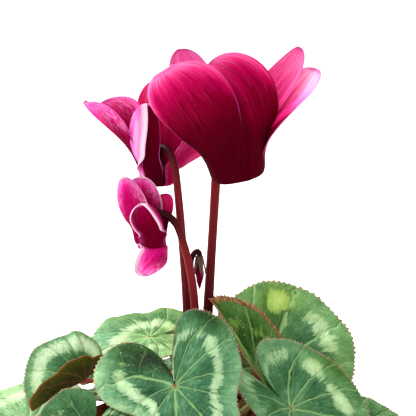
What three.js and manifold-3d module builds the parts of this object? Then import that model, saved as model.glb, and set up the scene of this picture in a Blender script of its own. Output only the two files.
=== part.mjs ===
// A potted florist's cyclamen: three reflexed blooms and two buds hang from hooked stalks over a mound of
// heart-shaped, saw-edged leaves. All rise from the crown of a tuber in the soil of a plain clay pot.
// Millimetres, +Z up. The origin is the centre of the pot's flat foot, and the photographed side faces -Y.
import * as THREE from "three";
import { mergeVertices } from "three/addons/utils/BufferGeometryUtils.js";
import Module from "manifold-3d";

const wasm = await Module();
wasm.setup();

// Driving dimensions
const GAP = 0.3;
const POT = {
  height: 95, footRadius: 37, rimRadius: 56, wall: 4.5, floor: 6, bandHeight: 21, bandProud: 2.5, lip: 1.2,
  holes: 4, holeRadius: 3.5, holeRing: 22, sides: 36,
};
const SOIL = { level: 82, mound: 2.5, bump: 0.9, rings: 4, sides: 26 };
const TUBER = { radius: 22, halfHeight: 14, centre: 77.5, sides: 18, rows: 7 };
const LEAF = {
  thickness: 0.9, teeth: 16, toothDepth: 0.055, stalkRadius: [1.35, 1.0], stalkSides: 6,
};
const STALK = { radius: [1.95, 1.6], sides: 7, steps: 20, socketDepth: 3.5 };
const TUBE = { radius: 5.6, neck: 2.6, height: 9, sides: 10 };
const CALYX = { sepals: 5, clear: 1.1, thickness: 0.9 };
const PETAL = {
  thickness: 0.9, rows: [0, 0.18, 0.38, 0.58, 0.77, 0.91, 0.98], foldRows: 2, foldFoot: 3,
  rootHalfWidth: 5.3,
};
const BUD = { sides: 15, rows: 7, ridges: 5, ridgeDepth: 0.14, turns: 0.35 };

const degrees = THREE.MathUtils.degToRad;
const vec = (x, y, z) => new THREE.Vector3(x, y, z);
const around = (azimuth, radius = 1, z = 0) =>
  vec(radius * Math.cos(degrees(azimuth)), radius * Math.sin(degrees(azimuth)), z);
const blendTo = (a, b, t) => a + (b - a) * t;
const smooth = (t) => {
  const c = Math.min(1, Math.max(0, t));
  return c * c * (3 - 2 * c);
};

// Solids

function toSolid(geometry) {
  const bare = geometry.clone();
  bare.deleteAttribute("normal");
  bare.deleteAttribute("uv");
  const merged = mergeVertices(bare, 1e-4);
  return new wasm.Manifold(
    new wasm.Mesh({
      numProp: 3,
      vertProperties: merged.attributes.position.array,
      triVerts: new Uint32Array(merged.index.array),
    }),
  );
}

function toGeometry(solid) {
  const mesh = solid.getMesh();
  const geometry = new THREE.BufferGeometry();
  geometry.setAttribute("position", new THREE.BufferAttribute(new Float32Array(mesh.vertProperties), 3));
  geometry.setIndex(new THREE.BufferAttribute(new Uint32Array(mesh.triVerts), 1));
  geometry.computeVertexNormals();
  return geometry;
}

const join = (solids) => solids.reduce((whole, next) => whole.add(next));

function indexed(points, triangles) {
  const geometry = new THREE.BufferGeometry();
  geometry.setAttribute("position", new THREE.Float32BufferAttribute(points.flatMap((p) => p.toArray()), 3));
  geometry.setIndex(triangles.flat());
  return geometry;
}

// A sheet of points and triangles given one thickness: both faces alike, closed along every free edge
function thickSheet(points, triangles, thickness) {
  const sheet = indexed(points, triangles);
  sheet.computeVertexNormals();
  const normals = sheet.getAttribute("normal");
  const normal = (i) => vec(normals.getX(i), normals.getY(i), normals.getZ(i));
  const shifted = (side) => points.map((p, i) => p.clone().addScaledVector(normal(i), side));
  const count = points.length;
  const faces = triangles.flatMap(([a, b, c]) => [[a, b, c], [a + count, c + count, b + count]]);
  const used = new Set(triangles.flatMap(([a, b, c]) => [`${a},${b}`, `${b},${c}`, `${c},${a}`]));
  for (const [a, b, c] of triangles) {
    for (const [from, to] of [[a, b], [b, c], [c, a]]) {
      if (!used.has(`${to},${from}`)) faces.push([from, from + count, to + count], [from, to + count, to]);
    }
  }
  return indexed([...shifted(thickness / 2), ...shifted(-thickness / 2)], faces);
}

// A round stalk along a path, its radius going evenly from the first to the last given, with flat ends
function sweep(path, [footRadius, endRadius], sides, steps) {
  const points = [];
  const triangles = [];
  let across = null;
  for (let i = 0; i <= steps; i++) {
    const t = i / steps;
    const along = path.getTangent(t);
    across = across || (Math.abs(along.x) < 0.9 ? vec(1, 0, 0) : vec(0, 1, 0));
    across = across.clone().addScaledVector(along, -across.dot(along)).normalize();
    const other = along.clone().cross(across);
    const radius = blendTo(footRadius, endRadius, t);
    for (let k = 0; k < sides; k++) {
      const a = (2 * Math.PI * k) / sides;
      const rim = across.clone().multiplyScalar(Math.cos(a)).addScaledVector(other, Math.sin(a));
      points.push(path.getPoint(t).addScaledVector(rim, radius));
    }
  }
  const at = (i, k) => i * sides + (k % sides);
  for (let i = 0; i < steps; i++) {
    for (let k = 0; k < sides; k++) {
      triangles.push([at(i, k), at(i, k + 1), at(i + 1, k + 1)], [at(i, k), at(i + 1, k + 1), at(i + 1, k)]);
    }
  }
  for (let k = 1; k < sides - 1; k++) {
    triangles.push([at(0, 0), at(0, k + 1), at(0, k)], [at(steps, 0), at(steps, k), at(steps, k + 1)]);
  }
  return toSolid(indexed(points, triangles));
}

const bezier = (a, b, c, d) => new THREE.CubicBezierCurve3(a, b, c, d);

function lathe(profile, sides) {
  const outline = profile.map(([r, z]) => new THREE.Vector2(r, z));
  return new THREE.LatheGeometry(outline, sides).rotateX(Math.PI / 2);
}

const turned = (profile, sides) => toSolid(lathe(profile, sides));

// Pot, soil and tuber

function potSolid() {
  const slope = (POT.rimRadius - POT.bandProud - POT.footRadius) / POT.height;
  const outside = (z) => POT.footRadius + slope * z;
  const bandFoot = POT.height - POT.bandHeight;
  const shell = turned(
    [
      [0, 0],
      [POT.footRadius - POT.lip, 0],
      [POT.footRadius, POT.lip],
      [outside(bandFoot), bandFoot],
      [outside(bandFoot) + POT.bandProud, bandFoot + POT.lip],
      [POT.rimRadius, POT.height - POT.lip],
      [POT.rimRadius - POT.lip, POT.height],
      [POT.rimRadius - POT.bandProud - POT.wall + POT.lip, POT.height],
      [POT.rimRadius - POT.bandProud - POT.wall, POT.height - POT.lip],
      [outside(POT.floor) - POT.wall, POT.floor],
      [0, POT.floor],
    ],
    POT.sides,
  );
  const drill = new THREE.CylinderGeometry(POT.holeRadius, POT.holeRadius, 3 * POT.floor, 10);
  drill.rotateX(Math.PI / 2);
  const holes = Array.from({ length: POT.holes }, (_, i) => {
    const centre = around((360 * (i + 0.5)) / POT.holes, POT.holeRing);
    return toSolid(drill.clone().translate(centre.x, centre.y, 0));
  });
  return shell.subtract(join(holes));
}

const insidePot = (z) => {
  const slope = (POT.rimRadius - POT.bandProud - POT.footRadius) / POT.height;
  return POT.footRadius + slope * z - POT.wall;
};

// The compost's surface is lumpy: low waves crossed over each other, laid on a slight mound
function soilSolid() {
  const edge = insidePot(SOIL.level) - 2 * GAP;
  const foot = POT.floor + GAP;
  const profile = [[0, foot], [insidePot(POT.floor) - 2 * GAP, foot], [edge, SOIL.level - 2]];
  for (let i = 1; i <= SOIL.rings; i++) {
    const share = 1 - i / SOIL.rings;
    profile.push([edge * share, SOIL.level + SOIL.mound * (1 - share * share)]);
  }
  const geometry = lathe(profile, SOIL.sides);
  const p = geometry.getAttribute("position");
  for (let i = 0; i < p.count; i++) {
    if (p.getZ(i) < SOIL.level - 1) continue;
    const [x, y] = [p.getX(i), p.getY(i)];
    const lump = Math.sin(0.41 * x + 1.3) * Math.cos(0.37 * y) + 0.6 * Math.sin(0.9 * x - 0.7 * y);
    p.setZ(i, p.getZ(i) + SOIL.bump * lump);
  }
  return toSolid(geometry).subtract(tuberBody(GAP));
}

const tuberTop = (radius) => TUBER.centre + TUBER.halfHeight * Math.sqrt(1 - (radius / TUBER.radius) ** 2);

function tuberBody(grow = 0) {
  const profile = [];
  for (let i = 0; i <= TUBER.rows; i++) {
    const a = Math.PI * (i / TUBER.rows - 0.5);
    profile.push([
      i % TUBER.rows === 0 ? 0 : (TUBER.radius + grow) * Math.cos(a),
      TUBER.centre + (TUBER.halfHeight + grow) * Math.sin(a),
    ]);
  }
  return turned(profile, TUBER.sides);
}

// Every stalk starts in its own socket in the tuber's crown. A foot is given by its place on the crown.
const feet = [];

function footAt(azimuth, radius, lean, stalkRadius) {
  const up = around(azimuth, Math.sin(degrees(lean)), Math.cos(degrees(lean)));
  const mouth = around(azimuth, radius, tuberTop(radius) - 0.6);
  const foot = mouth.clone().addScaledVector(up, -STALK.socketDepth);
  feet.push({ foot, up, stalkRadius });
  return { foot, up };
}

function tuberSolid() {
  const sockets = feet.map(({ foot, up, stalkRadius }) => {
    const path = new THREE.LineCurve3(
      foot.clone().addScaledVector(up, -GAP),
      foot.clone().addScaledVector(up, 3 * STALK.socketDepth),
    );
    return sweep(path, [stalkRadius + 2 * GAP, stalkRadius + 3 * GAP], 5, 1);
  });
  return tuberBody().subtract(join(sockets));
}

// Leaves

// How far the margin lies from the stalk's joint, as a share of the distance to the tip, `a` radians off the
// midrib. A leaf's bulges each have a direction, an amount and a width, and move its margin out or in.
function reach(leaf, a) {
  const back = Math.PI - Math.abs(a);
  const point = 0.04 * Math.exp(-((a / 0.28) ** 2));
  let body = 0.83 + 0.11 * Math.cos(2 * a) + 0.045 * Math.cos(a) + point;
  for (const [at, amount, wide] of leaf.bulges) body *= 1 + amount * Math.exp(-(((a - at) / wide) ** 2));
  return (body / 1.025) * (1 - Math.exp(-((back / leaf.notch) ** 1.5)));
}

// A leaf's own frame: x towards its tip, z out of its upper face, at the stalk's joint
function leafFrame({ heading, pitch, roll }) {
  const [h, p, r] = [heading, pitch, roll].map(degrees);
  const x = vec(Math.cos(p) * Math.cos(h), Math.cos(p) * Math.sin(h), Math.sin(p));
  const level = vec(-Math.sin(h), Math.cos(h), 0);
  const up = x.clone().cross(level);
  const y = level.clone().multiplyScalar(Math.cos(r)).addScaledVector(up, Math.sin(r));
  return { x, y, z: x.clone().cross(y) };
}

// Bends a point of the flat blade, at direction a and distance share * reach, into its folded and arched form
function bendBlade(leaf, a, share, stretch = 1) {
  const distance = leaf.length * reach(leaf, a) * share * stretch;
  const direction = a + leaf.skew * (1 - (a / Math.PI) ** 2);
  const left = direction >= 0;
  const x = distance * Math.cos(direction) * (Math.cos(direction) < 0 ? leaf.lobes : 1);
  const y = distance * Math.sin(direction) * (left ? leaf.broad[0] : leaf.broad[1]);
  const fold = degrees(left ? leaf.fold[0] : leaf.fold[1]);
  const side = (left ? leaf.curve[0] : leaf.curve[1]) || 1e-6;
  const q = Math.abs(y);
  const along = (x >= 0 ? leaf.arch[0] : leaf.arch[1]) || 1e-6;
  const lateral = (Math.sin(fold + side * q) - Math.sin(fold)) / side;
  const wave = leaf.wave * share * share * Math.sin(leaf.waves * a + leaf.phase);
  const lift = (Math.cos(fold) - Math.cos(fold + side * q)) / side + wave;
  const tilt = along * x;
  const f = leafFrame(leaf);
  return leaf.joint
    .clone()
    .addScaledVector(f.x, Math.sin(tilt) / along - lift * Math.sin(tilt))
    .addScaledVector(f.y, left ? lateral : -lateral)
    .addScaledVector(f.z, (1 - Math.cos(tilt)) / along + lift * Math.cos(tilt));
}

// Directions crowd towards the notch, where the margin turns most
function bladeDirection(i, count) {
  const s = (2 * i) / count - 1;
  return (Math.PI - 0.06) * (1.2 * s - 0.2 * s ** 3);
}

function bladeSheet(leaf) {
  const teeth = LEAF.teeth;
  const points = [bendBlade(leaf, 0, 0)];
  const ring = (count, share, stretch) => {
    const first = points.length;
    for (let i = 0; i <= count; i++) points.push(bendBlade(leaf, bladeDirection(i, count), share, stretch));
    return first;
  };
  const inner = ring(teeth / 2, 0.36);
  const middle = ring(teeth, 0.7);
  const notches = ring(teeth, 1, 1 - LEAF.toothDepth / 2);
  const tips = points.length;
  for (let i = 0; i < teeth; i++) {
    points.push(bendBlade(leaf, bladeDirection(i + 0.62, teeth), 1, 1 + LEAF.toothDepth / 2));
  }
  const triangles = [];
  for (let i = 0; i < teeth / 2; i++) {
    const [m, n] = [middle + 2 * i, inner + i];
    triangles.push([0, n, n + 1], [n, m, m + 1], [n, m + 1, n + 1], [n + 1, m + 1, m + 2]);
  }
  for (let i = 0; i < teeth; i++) {
    const [m, n, t] = [middle + i, notches + i, tips + i];
    triangles.push([m, n, t], [m, t, m + 1], [m + 1, t, n + 1]);
  }
  return { points, triangles };
}

// The stalk leaves its socket, arches over and comes to the joint through the notch between the lobes
function leafStalkPath(leaf) {
  const azimuth = leaf.root ?? THREE.MathUtils.radToDeg(Math.atan2(leaf.joint.y, leaf.joint.x));
  const { foot, up } = footAt(azimuth, leaf.ring, leaf.lean, LEAF.stalkRadius[0]);
  const f = leafFrame(leaf);
  const rise = leaf.joint.distanceTo(foot);
  const end = leaf.joint.clone().addScaledVector(f.x, 1.6).addScaledVector(f.z, -0.5);
  const arrive = f.x.clone().multiplyScalar(leaf.arrive[0]).addScaledVector(f.z, leaf.arrive[1]).normalize();
  return bezier(
    foot,
    foot.clone().addScaledVector(up, 0.45 * rise),
    end.clone().addScaledVector(arrive, -0.4 * rise),
    end,
  );
}

const LEAF_DEFAULTS = {
  length: 31, broad: [1, 1], skew: 0, lobes: 1, fold: [12, 12], curve: [-0.006, -0.006],
  arch: [-0.012, -0.004], wave: 0.9, waves: 5, phase: 0, notch: 0.16, bulges: [],
  ring: 9.5, lean: 14, arrive: [1, 0.35],
};

// The upper leaves, as photographed: the joint with the stalk, and where the tip heads
const UPPER_LEAVES = {
  leaf_front: {
    joint: [-6.4, -35, 132], heading: -73, pitch: -50.5, roll: 17, length: 35, fold: [12, -14],
    broad: [0.98, 1.3], skew: 0.55, arch: [-0.003, -0.004], arrive: [1, 0.1], root: -100, notch: 0.27,
    bulges: [[-1.4, -0.46, 0.6], [0.6, -0.28, 0.5], [1.9, 0.14, 0.45]],
  },
  leaf_front_right: {
    joint: [33.2, -28, 120.8], heading: -35, pitch: -34, roll: 47, length: 32, fold: [4, 42],
    broad: [1, 0.65], root: -52,
  },
  leaf_back_right: {
    joint: [27.8, 15.4, 121.3], heading: 54, pitch: 51, roll: 30, length: 36.5, fold: [6, 6],
    broad: [1, 1.28], lobes: 0.6, arch: [-0.01, -0.01], root: 38,
  },
  leaf_inner_right: {
    joint: [23, 0.5, 124.5], heading: 185, pitch: 62, roll: -60, length: 32, fold: [62, 22],
    broad: [0.75, 0.62], root: -8,
  },
  leaf_back_left: {
    joint: [-18, 22, 129.5], heading: 191, pitch: -6, roll: -8, length: 28, fold: [5, 10], lobes: 0.9,
    root: 128,
  },
  leaf_left: {
    joint: [-40.5, -6, 123], heading: 205, pitch: -18, roll: -25, length: 22, fold: [105, 45],
    curve: [-0.006, -0.035], broad: [0.62, 1.3], lobes: 0.6, root: 192,
  },
  leaf_low_left: {
    joint: [-63, 4, 101.5], heading: 195, pitch: -16, roll: -22, length: 29, fold: [22, 12],
    ring: 14.5, lean: 24, root: 174,
  },
  leaf_low_front: {
    joint: [-35.5, -38, 115.4], heading: 246, pitch: -34, roll: -20, length: 26, lobes: 0.8,
    ring: 14.5, lean: 24, root: 236,
  },
  leaf_low_right: {
    joint: [62, 3, 98], heading: -12, pitch: -14, roll: 14, length: 28, fold: [8, 20], ring: 14.5, lean: 24,
    root: 2,
  },
};

// The leaves below and behind: the joint's direction, distance and height, then pitch, roll and length. They
// stand in two storeys, and the lower ones hang past the rim.
const SKIRT_LEAVES = [
  [105, 40, 112, -3, 0, 27],
  [69, 43, 116, -4, 10, 28],
  [138, 45, 114, -2, -8, 24],
  [42, 59, 98, -9, 5, 27],
  [85, 59, 98, -9, 0, 27],
  [126, 59, 98, -9, -5, 27],
  [-144, 59, 98, -11, -5, 27],
  [-108, 58, 98, -11, -3, 25],
  [-69, 58, 98, -11, 3, 26],
  [-36, 59, 98, -11, 5, 27],
];

const leaves = [
  ...Object.entries(UPPER_LEAVES).map(([name, given]) => ({ name, ...given, joint: vec(...given.joint) })),
  ...SKIRT_LEAVES.map(([azimuth, radius, height, pitch, roll, length], i) => ({
    name: `leaf_skirt_${String(i + 1).padStart(2, "0")}`,
    joint: around(azimuth, radius, height),
    heading: azimuth,
    pitch,
    roll,
    length,
    fold: [7, 7],
    arch: [-0.02, -0.004],
    ring: 14.5,
    lean: 24,
    phase: 1.7 * i,
  })),
].map((given) => ({ ...LEAF_DEFAULTS, ...given }));

function leafSolid(leaf) {
  const { points, triangles } = bladeSheet(leaf);
  return toSolid(thickSheet(points, triangles, LEAF.thickness)).add(
    sweep(leafStalkPath(leaf), LEAF.stalkRadius, LEAF.stalkSides, 8),
  );
}

// Blooms

// A bloom's frame: z from the mouth up through the tube to the calyx
function bloomTurn(bloom) {
  return new THREE.Quaternion().setFromUnitVectors(vec(0, 0, 1), vec(...bloom.axis).normalize());
}

// The petal's midline: down inside the tube, round the mouth's fold, and back up to the tip
function petalMidline(petal, size) {
  const out = around(petal.base);
  const at = (r, z) => out.clone().multiplyScalar((r + petal.proud) * size).setZ(z * size);
  const free = at(...petal.free);
  const rise = petal.tip.clone().sub(free);
  const length = rise.length();
  const leave = out.clone().multiplyScalar(0.12).setZ(1).normalize();
  const arrive = rise.clone().normalize().addScaledVector(petal.nod, 1).normalize();
  return {
    fold: bezier(at(5, PETAL.foldFoot), at(5.2, -2.4), at(petal.free[0] - 0.6, -2.2), free),
    blade: bezier(
      free,
      free.clone().addScaledVector(leave, petal.leave * length),
      petal.tip.clone().addScaledVector(arrive, -0.34 * length),
      petal.tip,
    ),
  };
}

// Half the petal's width at a share of its free length, with a rounded or a more pointed end
function petalHalfWidth(petal, u, size) {
  const root = PETAL.rootHalfWidth * size * petal.root;
  const { widest, point } = petal;
  const full = blendTo(root, petal.width / 2, smooth((u + 0.12) / (widest + 0.12)));
  return u <= widest ? full : full * (1 - ((u - widest) / (1 - widest)) ** point) ** 0.5;
}

// A point across the petal, v from -1 to 1: bowed outwards, with edges that may roll further over
function petalPoint(petal, midline, row, v, size) {
  const inFold = row.part === "fold";
  const curve = midline[row.part];
  const u = inFold ? 0 : row.t;
  const centre = curve.getPoint(row.t);
  const along = curve.getTangent(row.t);
  const facing = petal.base + petal.twist * smooth(u * 1.15);
  const across = around(facing + 90);
  across.addScaledVector(along, -across.dot(along)).normalize();
  const normal = across.clone().cross(along);
  const strength = inFold ? 0 : smooth(u / 0.35);
  const unevenSides = blendTo(1, v > 0 ? petal.halves[0] : petal.halves[1], strength);
  const half = petalHalfWidth(petal, inFold ? -0.12 + 0.12 * row.t : u, size) * unevenSides;
  const steps = 6;
  let [sideways, inwards] = [0, 0];
  for (let k = 0; k < steps; k++) {
    const s = ((k + 0.5) / steps) * Math.abs(v);
    const roll = degrees(v > 0 ? petal.roll[0] : petal.roll[1]);
    const angle = strength * (degrees(petal.bow) * s + roll * s ** 3);
    sideways += (Math.cos(angle) * Math.abs(v)) / steps;
    inwards += (Math.sin(angle) * Math.abs(v)) / steps;
  }
  const round = (1 - strength) * ((half * v) ** 2 / (2 * 7.5 * size));
  return centre
    .addScaledVector(across, Math.sign(v) * half * sideways)
    .addScaledVector(normal, -half * inwards)
    .addScaledVector(around(petal.base), -round);
}

function petalSheet(petal, size) {
  const midline = petalMidline(petal, size);
  const rows = [];
  for (let i = 0; i < PETAL.foldRows; i++) rows.push({ part: "fold", t: i / PETAL.foldRows });
  for (const t of PETAL.rows) rows.push({ part: "blade", t });
  const points = rows.flatMap((row) =>
    Array.from({ length: petal.columns + 1 }, (_, k) =>
      petalPoint(petal, midline, row, (2 * k) / petal.columns - 1, size)),
  );
  points.push(petal.tip.clone());
  const at = (i, k) => i * (petal.columns + 1) + k;
  const triangles = [];
  for (let k = 0; k < petal.columns; k++) {
    for (let i = 0; i < rows.length - 1; i++) {
      triangles.push([at(i, k), at(i + 1, k + 1), at(i, k + 1)], [at(i, k), at(i + 1, k), at(i + 1, k + 1)]);
    }
    triangles.push([at(rows.length - 1, k), points.length - 1, at(rows.length - 1, k + 1)]);
  }
  return { points, triangles };
}

function corollaSolid(bloom) {
  const inverse = bloomTurn(bloom).invert();
  const size = bloom.size;
  const { radius, height, neck } = TUBE;
  const outline = [
    [0, -0.8], [4.4, -0.8], [radius, 0.6], [radius, 4], [4.7, 7.2], [neck, height], [0, height],
  ];
  const tube = turned(outline.map(([r, z]) => [r * size, z * size]), TUBE.sides);
  const petals = bloom.petals.map((given) => {
    const petal = { ...PETAL_DEFAULTS, ...given };
    petal.tip = vec(...given.tip).applyQuaternion(inverse);
    petal.nod = vec(...petal.nod).applyQuaternion(inverse);
    const { points, triangles } = petalSheet(petal, size);
    return toSolid(thickSheet(points, triangles, PETAL.thickness));
  });
  return join([tube, ...petals]);
}

// The stalk rises, hooks over and comes down on the calyx, whose five sepals lie over the tube or the bud
function stalkSolid(flower) {
  const turn = bloomTurn(flower);
  const local = (p) => p.applyQuaternion(turn).add(vec(...flower.mouth));
  const { top, ring, tip } = flower.calyx;
  const radii = STALK.radius.map((r) => r * flower.thin);
  const { foot, up } = footAt(flower.root[0], flower.root[1], flower.lean, radii[0]);
  const shoulder = vec(...flower.shoulder);
  const climb = shoulder.distanceTo(foot);
  const heading = vec(...flower.heading).normalize();
  const rise = bezier(
    foot,
    foot.clone().addScaledVector(up, 0.35 * climb),
    shoulder.clone().addScaledVector(heading, -0.35 * climb),
    shoulder,
  );
  const over = bezier(
    shoulder,
    shoulder.clone().addScaledVector(heading, flower.loop[0]),
    local(vec(0, 0, top + flower.loop[1])),
    local(vec(0, 0, top - 0.2)),
  );
  const cap = [local(vec(0, 0, top))];
  const triangles = [];
  const corners = 2 * CALYX.sepals;
  for (let k = 0; k < corners; k++) cap.push(local(around((360 * k) / corners, ...ring)));
  for (let k = 0; k < CALYX.sepals; k++) cap.push(local(around((360 * k) / CALYX.sepals, ...tip)));
  for (let k = 0; k < corners; k++) triangles.push([0, k + 1, ((k + 1) % corners) + 1]);
  for (let k = 0; k < CALYX.sepals; k++) {
    const [point, middle] = [corners + 1 + k, 2 * k + 1];
    const before = 2 * k === 0 ? corners : 2 * k;
    triangles.push([before, point, middle], [middle, point, middle + 1]);
  }
  const path = new THREE.CurvePath();
  path.add(rise);
  path.add(over);
  const calyx = toSolid(thickSheet(cap, triangles, CALYX.thickness));
  return sweep(path, radii, STALK.sides, STALK.steps).add(calyx);
}

// Where a bloom's calyx lies over its tube
function tubeCalyx(size) {
  const top = TUBE.height * size + CALYX.clear;
  return { top, ring: [TUBE.neck * size + 1.3, top - 0.35], tip: [TUBE.radius * size + 1.5, 5 * size] };
}

const budRadius = (bud, t) => (bud.width / 2) * Math.sin(Math.PI * t ** 0.8) ** 0.8;

function budCalyx(bud) {
  const tip = budRadius(bud, bud.wrapped) * (1 + BUD.ridgeDepth) + CALYX.clear - 0.2;
  return { top: CALYX.clear, ring: [1.25, CALYX.clear - 0.3], tip: [tip, -bud.wrapped * bud.length] };
}

// A closed bud: five petals wound round each other into a ridged, pointed spindle that hangs from its calyx
function budSolid(bud) {
  const points = [];
  const triangles = [];
  const { sides, rows } = BUD;
  for (let i = 0; i < rows; i++) {
    const t = (i + 0.5) / rows;
    for (let k = 0; k < sides; k++) {
      const a = (2 * Math.PI * k) / sides;
      const ridge = 1 + BUD.ridgeDepth * Math.cos(BUD.ridges * a);
      const turned = (360 * k) / sides + 360 * BUD.turns * t;
      points.push(around(turned, budRadius(bud, t) * ridge, -bud.length * t));
    }
  }
  const at = (i, k) => i * sides + (k % sides);
  for (let i = 0; i < rows - 1; i++) {
    for (let k = 0; k < sides; k++) {
      triangles.push([at(i, k), at(i + 1, k + 1), at(i, k + 1)], [at(i, k), at(i + 1, k), at(i + 1, k + 1)]);
    }
  }
  points.push(vec(0, 0, 0), vec(0, 0, -bud.length));
  const [neck, point] = [rows * sides, rows * sides + 1];
  for (let k = 0; k < sides; k++) {
    triangles.push([neck, at(0, k), at(0, k + 1)], [point, at(rows - 1, k + 1), at(rows - 1, k)]);
  }
  return toSolid(indexed(points, triangles));
}

const PETAL_DEFAULTS = {
  columns: 4, root: 1, proud: 0, twist: 0, width: 25, halves: [1, 1], widest: 0.6, point: 2.6, bow: 45,
  roll: [0, 0], free: [9.8, 3], leave: 0.36, nod: [0, 0, 0],
};

// Blooms as photographed. A petal's tip and nod are in the plant's own axes, from the mouth's centre.
const BLOOM_DEFAULTS = { axis: [0, 0, 1], lean: 0, thin: 0.85 };

const BLOOMS = {
  bloom_large: {
    mouth: [16, 0, 198], axis: [-0.2, 0, 1], size: 1, root: [-20, 3], shoulder: [8.3, 12.3, 207],
    heading: [0.05, 0, 1], loop: [15, 14], thin: 1,
    petals: [
      {
        base: 234, tip: [-27, -13, 38], root: 1.4, proud: 1, twist: 16, width: 34, bow: 42,
        nod: [-0.1, 0, 0],
      },
      {
        base: 306, tip: [-12, -7, 39], root: 1.1, twist: -46, width: 34, halves: [1, 0.8], widest: 0.42,
        nod: [-0.6, 0.2, -0.2],
      },
      { base: 18, tip: [28, 8, 37], twist: 22, width: 22, bow: 30 },
      { base: 86, tip: [22, 14, 44.5], root: 0.65, twist: -10, width: 17, halves: [0.6, 1.15], point: 1.5 },
      { base: 170, tip: [-21, 12, 44], root: 0.6, twist: -34, width: 23, bow: 20 },
    ],
  },
  bloom_middle: {
    mouth: [-13.8, 12, 193.2], size: 0.66, root: [120, 4.5], shoulder: [-6.6, 1.6, 196.5],
    heading: [-0.1, 0.06, 1], loop: [12, 10],
    petals: [
      {
        base: 246, tip: [-3.2, -8, 30], root: 1.14, twist: 45, width: 17, halves: [0.55, 0.68], bow: 20,
      },
      { base: 332, tip: [21, 6, 18], root: 0.8, twist: -12, width: 21, halves: [1, 0.85], bow: 20 },
      { base: 34, tip: [2, 8, 38], twist: 50, width: 24 },
      { base: 106, tip: [-21, 4, 29], twist: 140, width: 26, point: 1.9 },
      { base: 178, tip: [-26, -6, 30], twist: 30, width: 20, widest: 0.72, point: 3.4 },
    ],
  },
  bloom_small: {
    mouth: [-15.5, -6, 175], size: 0.64, root: [240, 4.5], shoulder: [-5.6, -5, 179],
    heading: [-0.35, 0, 1], loop: [7, 6],
    petals: [
      {
        base: 278, tip: [-3, -8, 15.5], root: 1.3, proud: 0.65, twist: -14, width: 16, halves: [1.25, 1],
        bow: -64, roll: [-120, -60],
      },
      { base: 216, tip: [-10, 3, 23], root: 1.2, twist: 36, width: 14, widest: 0.3, point: 1.7 },
      { base: 120, tip: [-4, 6, 22.5], root: 0.8, twist: -30, width: 15, widest: 0.42, bow: 30 },
      { base: 60, tip: [6, 7, 16], root: 0.8, width: 10 },
      {
        base: 287, tip: [-4.6, -6.6, -10.5], root: 1.5, twist: -12, width: 12.4, halves: [1, 0.85],
        widest: 0.2, point: 1.6, bow: 30, free: [8.2, -2.4], leave: 0.04,
      },
    ],
  },
};

// Buds hang straight down from their calyx; the mouth is the bud's neck
const BUDS = {
  bud_high: {
    mouth: [1.6, 5, 166], root: [75, 4.5], shoulder: [-1.6, 5, 164], heading: [0, 0, 1], loop: [4, 3.5],
    thin: 0.62, length: 12, width: 3, wrapped: 0.55,
  },
  bud_low: {
    mouth: [4, 30, 136], axis: [0, 0.1, 1], root: [80, 9.5], shoulder: [4, 24, 135],
    heading: [-0.05, 0.25, 1],
    loop: [6, 5], lean: 8, thin: 0.66, length: 15, width: 7, wrapped: 0.3,
  },
};

// Assembly

const LOOKS = {
  clay: { color: 0xb5694a, roughness: 0.9 },
  soil: { color: 0x3b2a20, roughness: 1 },
  tuber: { color: 0x6b4a35, roughness: 0.95 },
  leaf: { color: 0x5c8f6c, roughness: 0.55 },
  petal: { color: 0xb81258, roughness: 0.6 },
  stalk: { color: 0x7a3530, roughness: 0.6 },
};

const piece = (name, solid, look) => {
  const material = new THREE.MeshStandardMaterial({ ...LOOKS[look], metalness: 0, flatShading: true });
  const mesh = new THREE.Mesh(toGeometry(solid), material);
  mesh.name = name;
  return mesh;
};

const pottedCyclamen = new THREE.Group();
const potGroup = new THREE.Group();
const plant = new THREE.Group();
potGroup.add(piece("pot", potSolid(), "clay"), piece("soil", soilSolid(), "soil"));
for (const leaf of leaves) plant.add(piece(leaf.name, leafSolid(leaf), "leaf"));
const hang = (name, flower, solid) => {
  const mesh = piece(name, solid, "petal");
  mesh.position.set(...flower.mouth);
  mesh.quaternion.copy(bloomTurn(flower));
  plant.add(mesh);
};
for (const [name, given] of Object.entries(BLOOMS)) {
  const bloom = { ...BLOOM_DEFAULTS, ...given, calyx: tubeCalyx(given.size) };
  plant.add(piece(`${name}_stalk`, stalkSolid(bloom), "stalk"));
  hang(`${name}_petals`, bloom, corollaSolid(bloom));
}
for (const [name, given] of Object.entries(BUDS)) {
  const bud = { ...BLOOM_DEFAULTS, ...given, calyx: budCalyx(given) };
  plant.add(piece(`${name}_stalk`, stalkSolid(bud), "stalk"));
  hang(`${name}_petals`, bud, budSolid(bud));
}
plant.add(piece("tuber", tuberSolid(), "tuber"));
pottedCyclamen.add(potGroup, plant);

export default pottedCyclamen;
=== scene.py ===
"""The looks of a potted cyclamen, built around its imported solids.

The plant's forms are worked out in millimetres, by the same rules as its solids, and each piece is scaled to
metres once, when it is made. The photographed side faces -Y.
"""
import math

import bpy
import numpy as np
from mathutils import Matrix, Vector, noise


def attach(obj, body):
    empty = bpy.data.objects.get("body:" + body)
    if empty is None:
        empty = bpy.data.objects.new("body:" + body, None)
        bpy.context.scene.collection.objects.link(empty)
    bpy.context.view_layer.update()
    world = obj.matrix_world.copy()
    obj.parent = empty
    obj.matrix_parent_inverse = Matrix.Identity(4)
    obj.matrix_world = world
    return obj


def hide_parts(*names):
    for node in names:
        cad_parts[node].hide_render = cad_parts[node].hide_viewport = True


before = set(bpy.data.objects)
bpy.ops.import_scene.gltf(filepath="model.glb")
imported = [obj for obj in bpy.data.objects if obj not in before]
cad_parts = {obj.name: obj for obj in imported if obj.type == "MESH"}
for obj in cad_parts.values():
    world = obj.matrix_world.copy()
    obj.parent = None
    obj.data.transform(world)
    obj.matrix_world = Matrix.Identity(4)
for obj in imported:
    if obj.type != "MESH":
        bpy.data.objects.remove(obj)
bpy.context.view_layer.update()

MM = 0.001
SEED = 11

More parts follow.
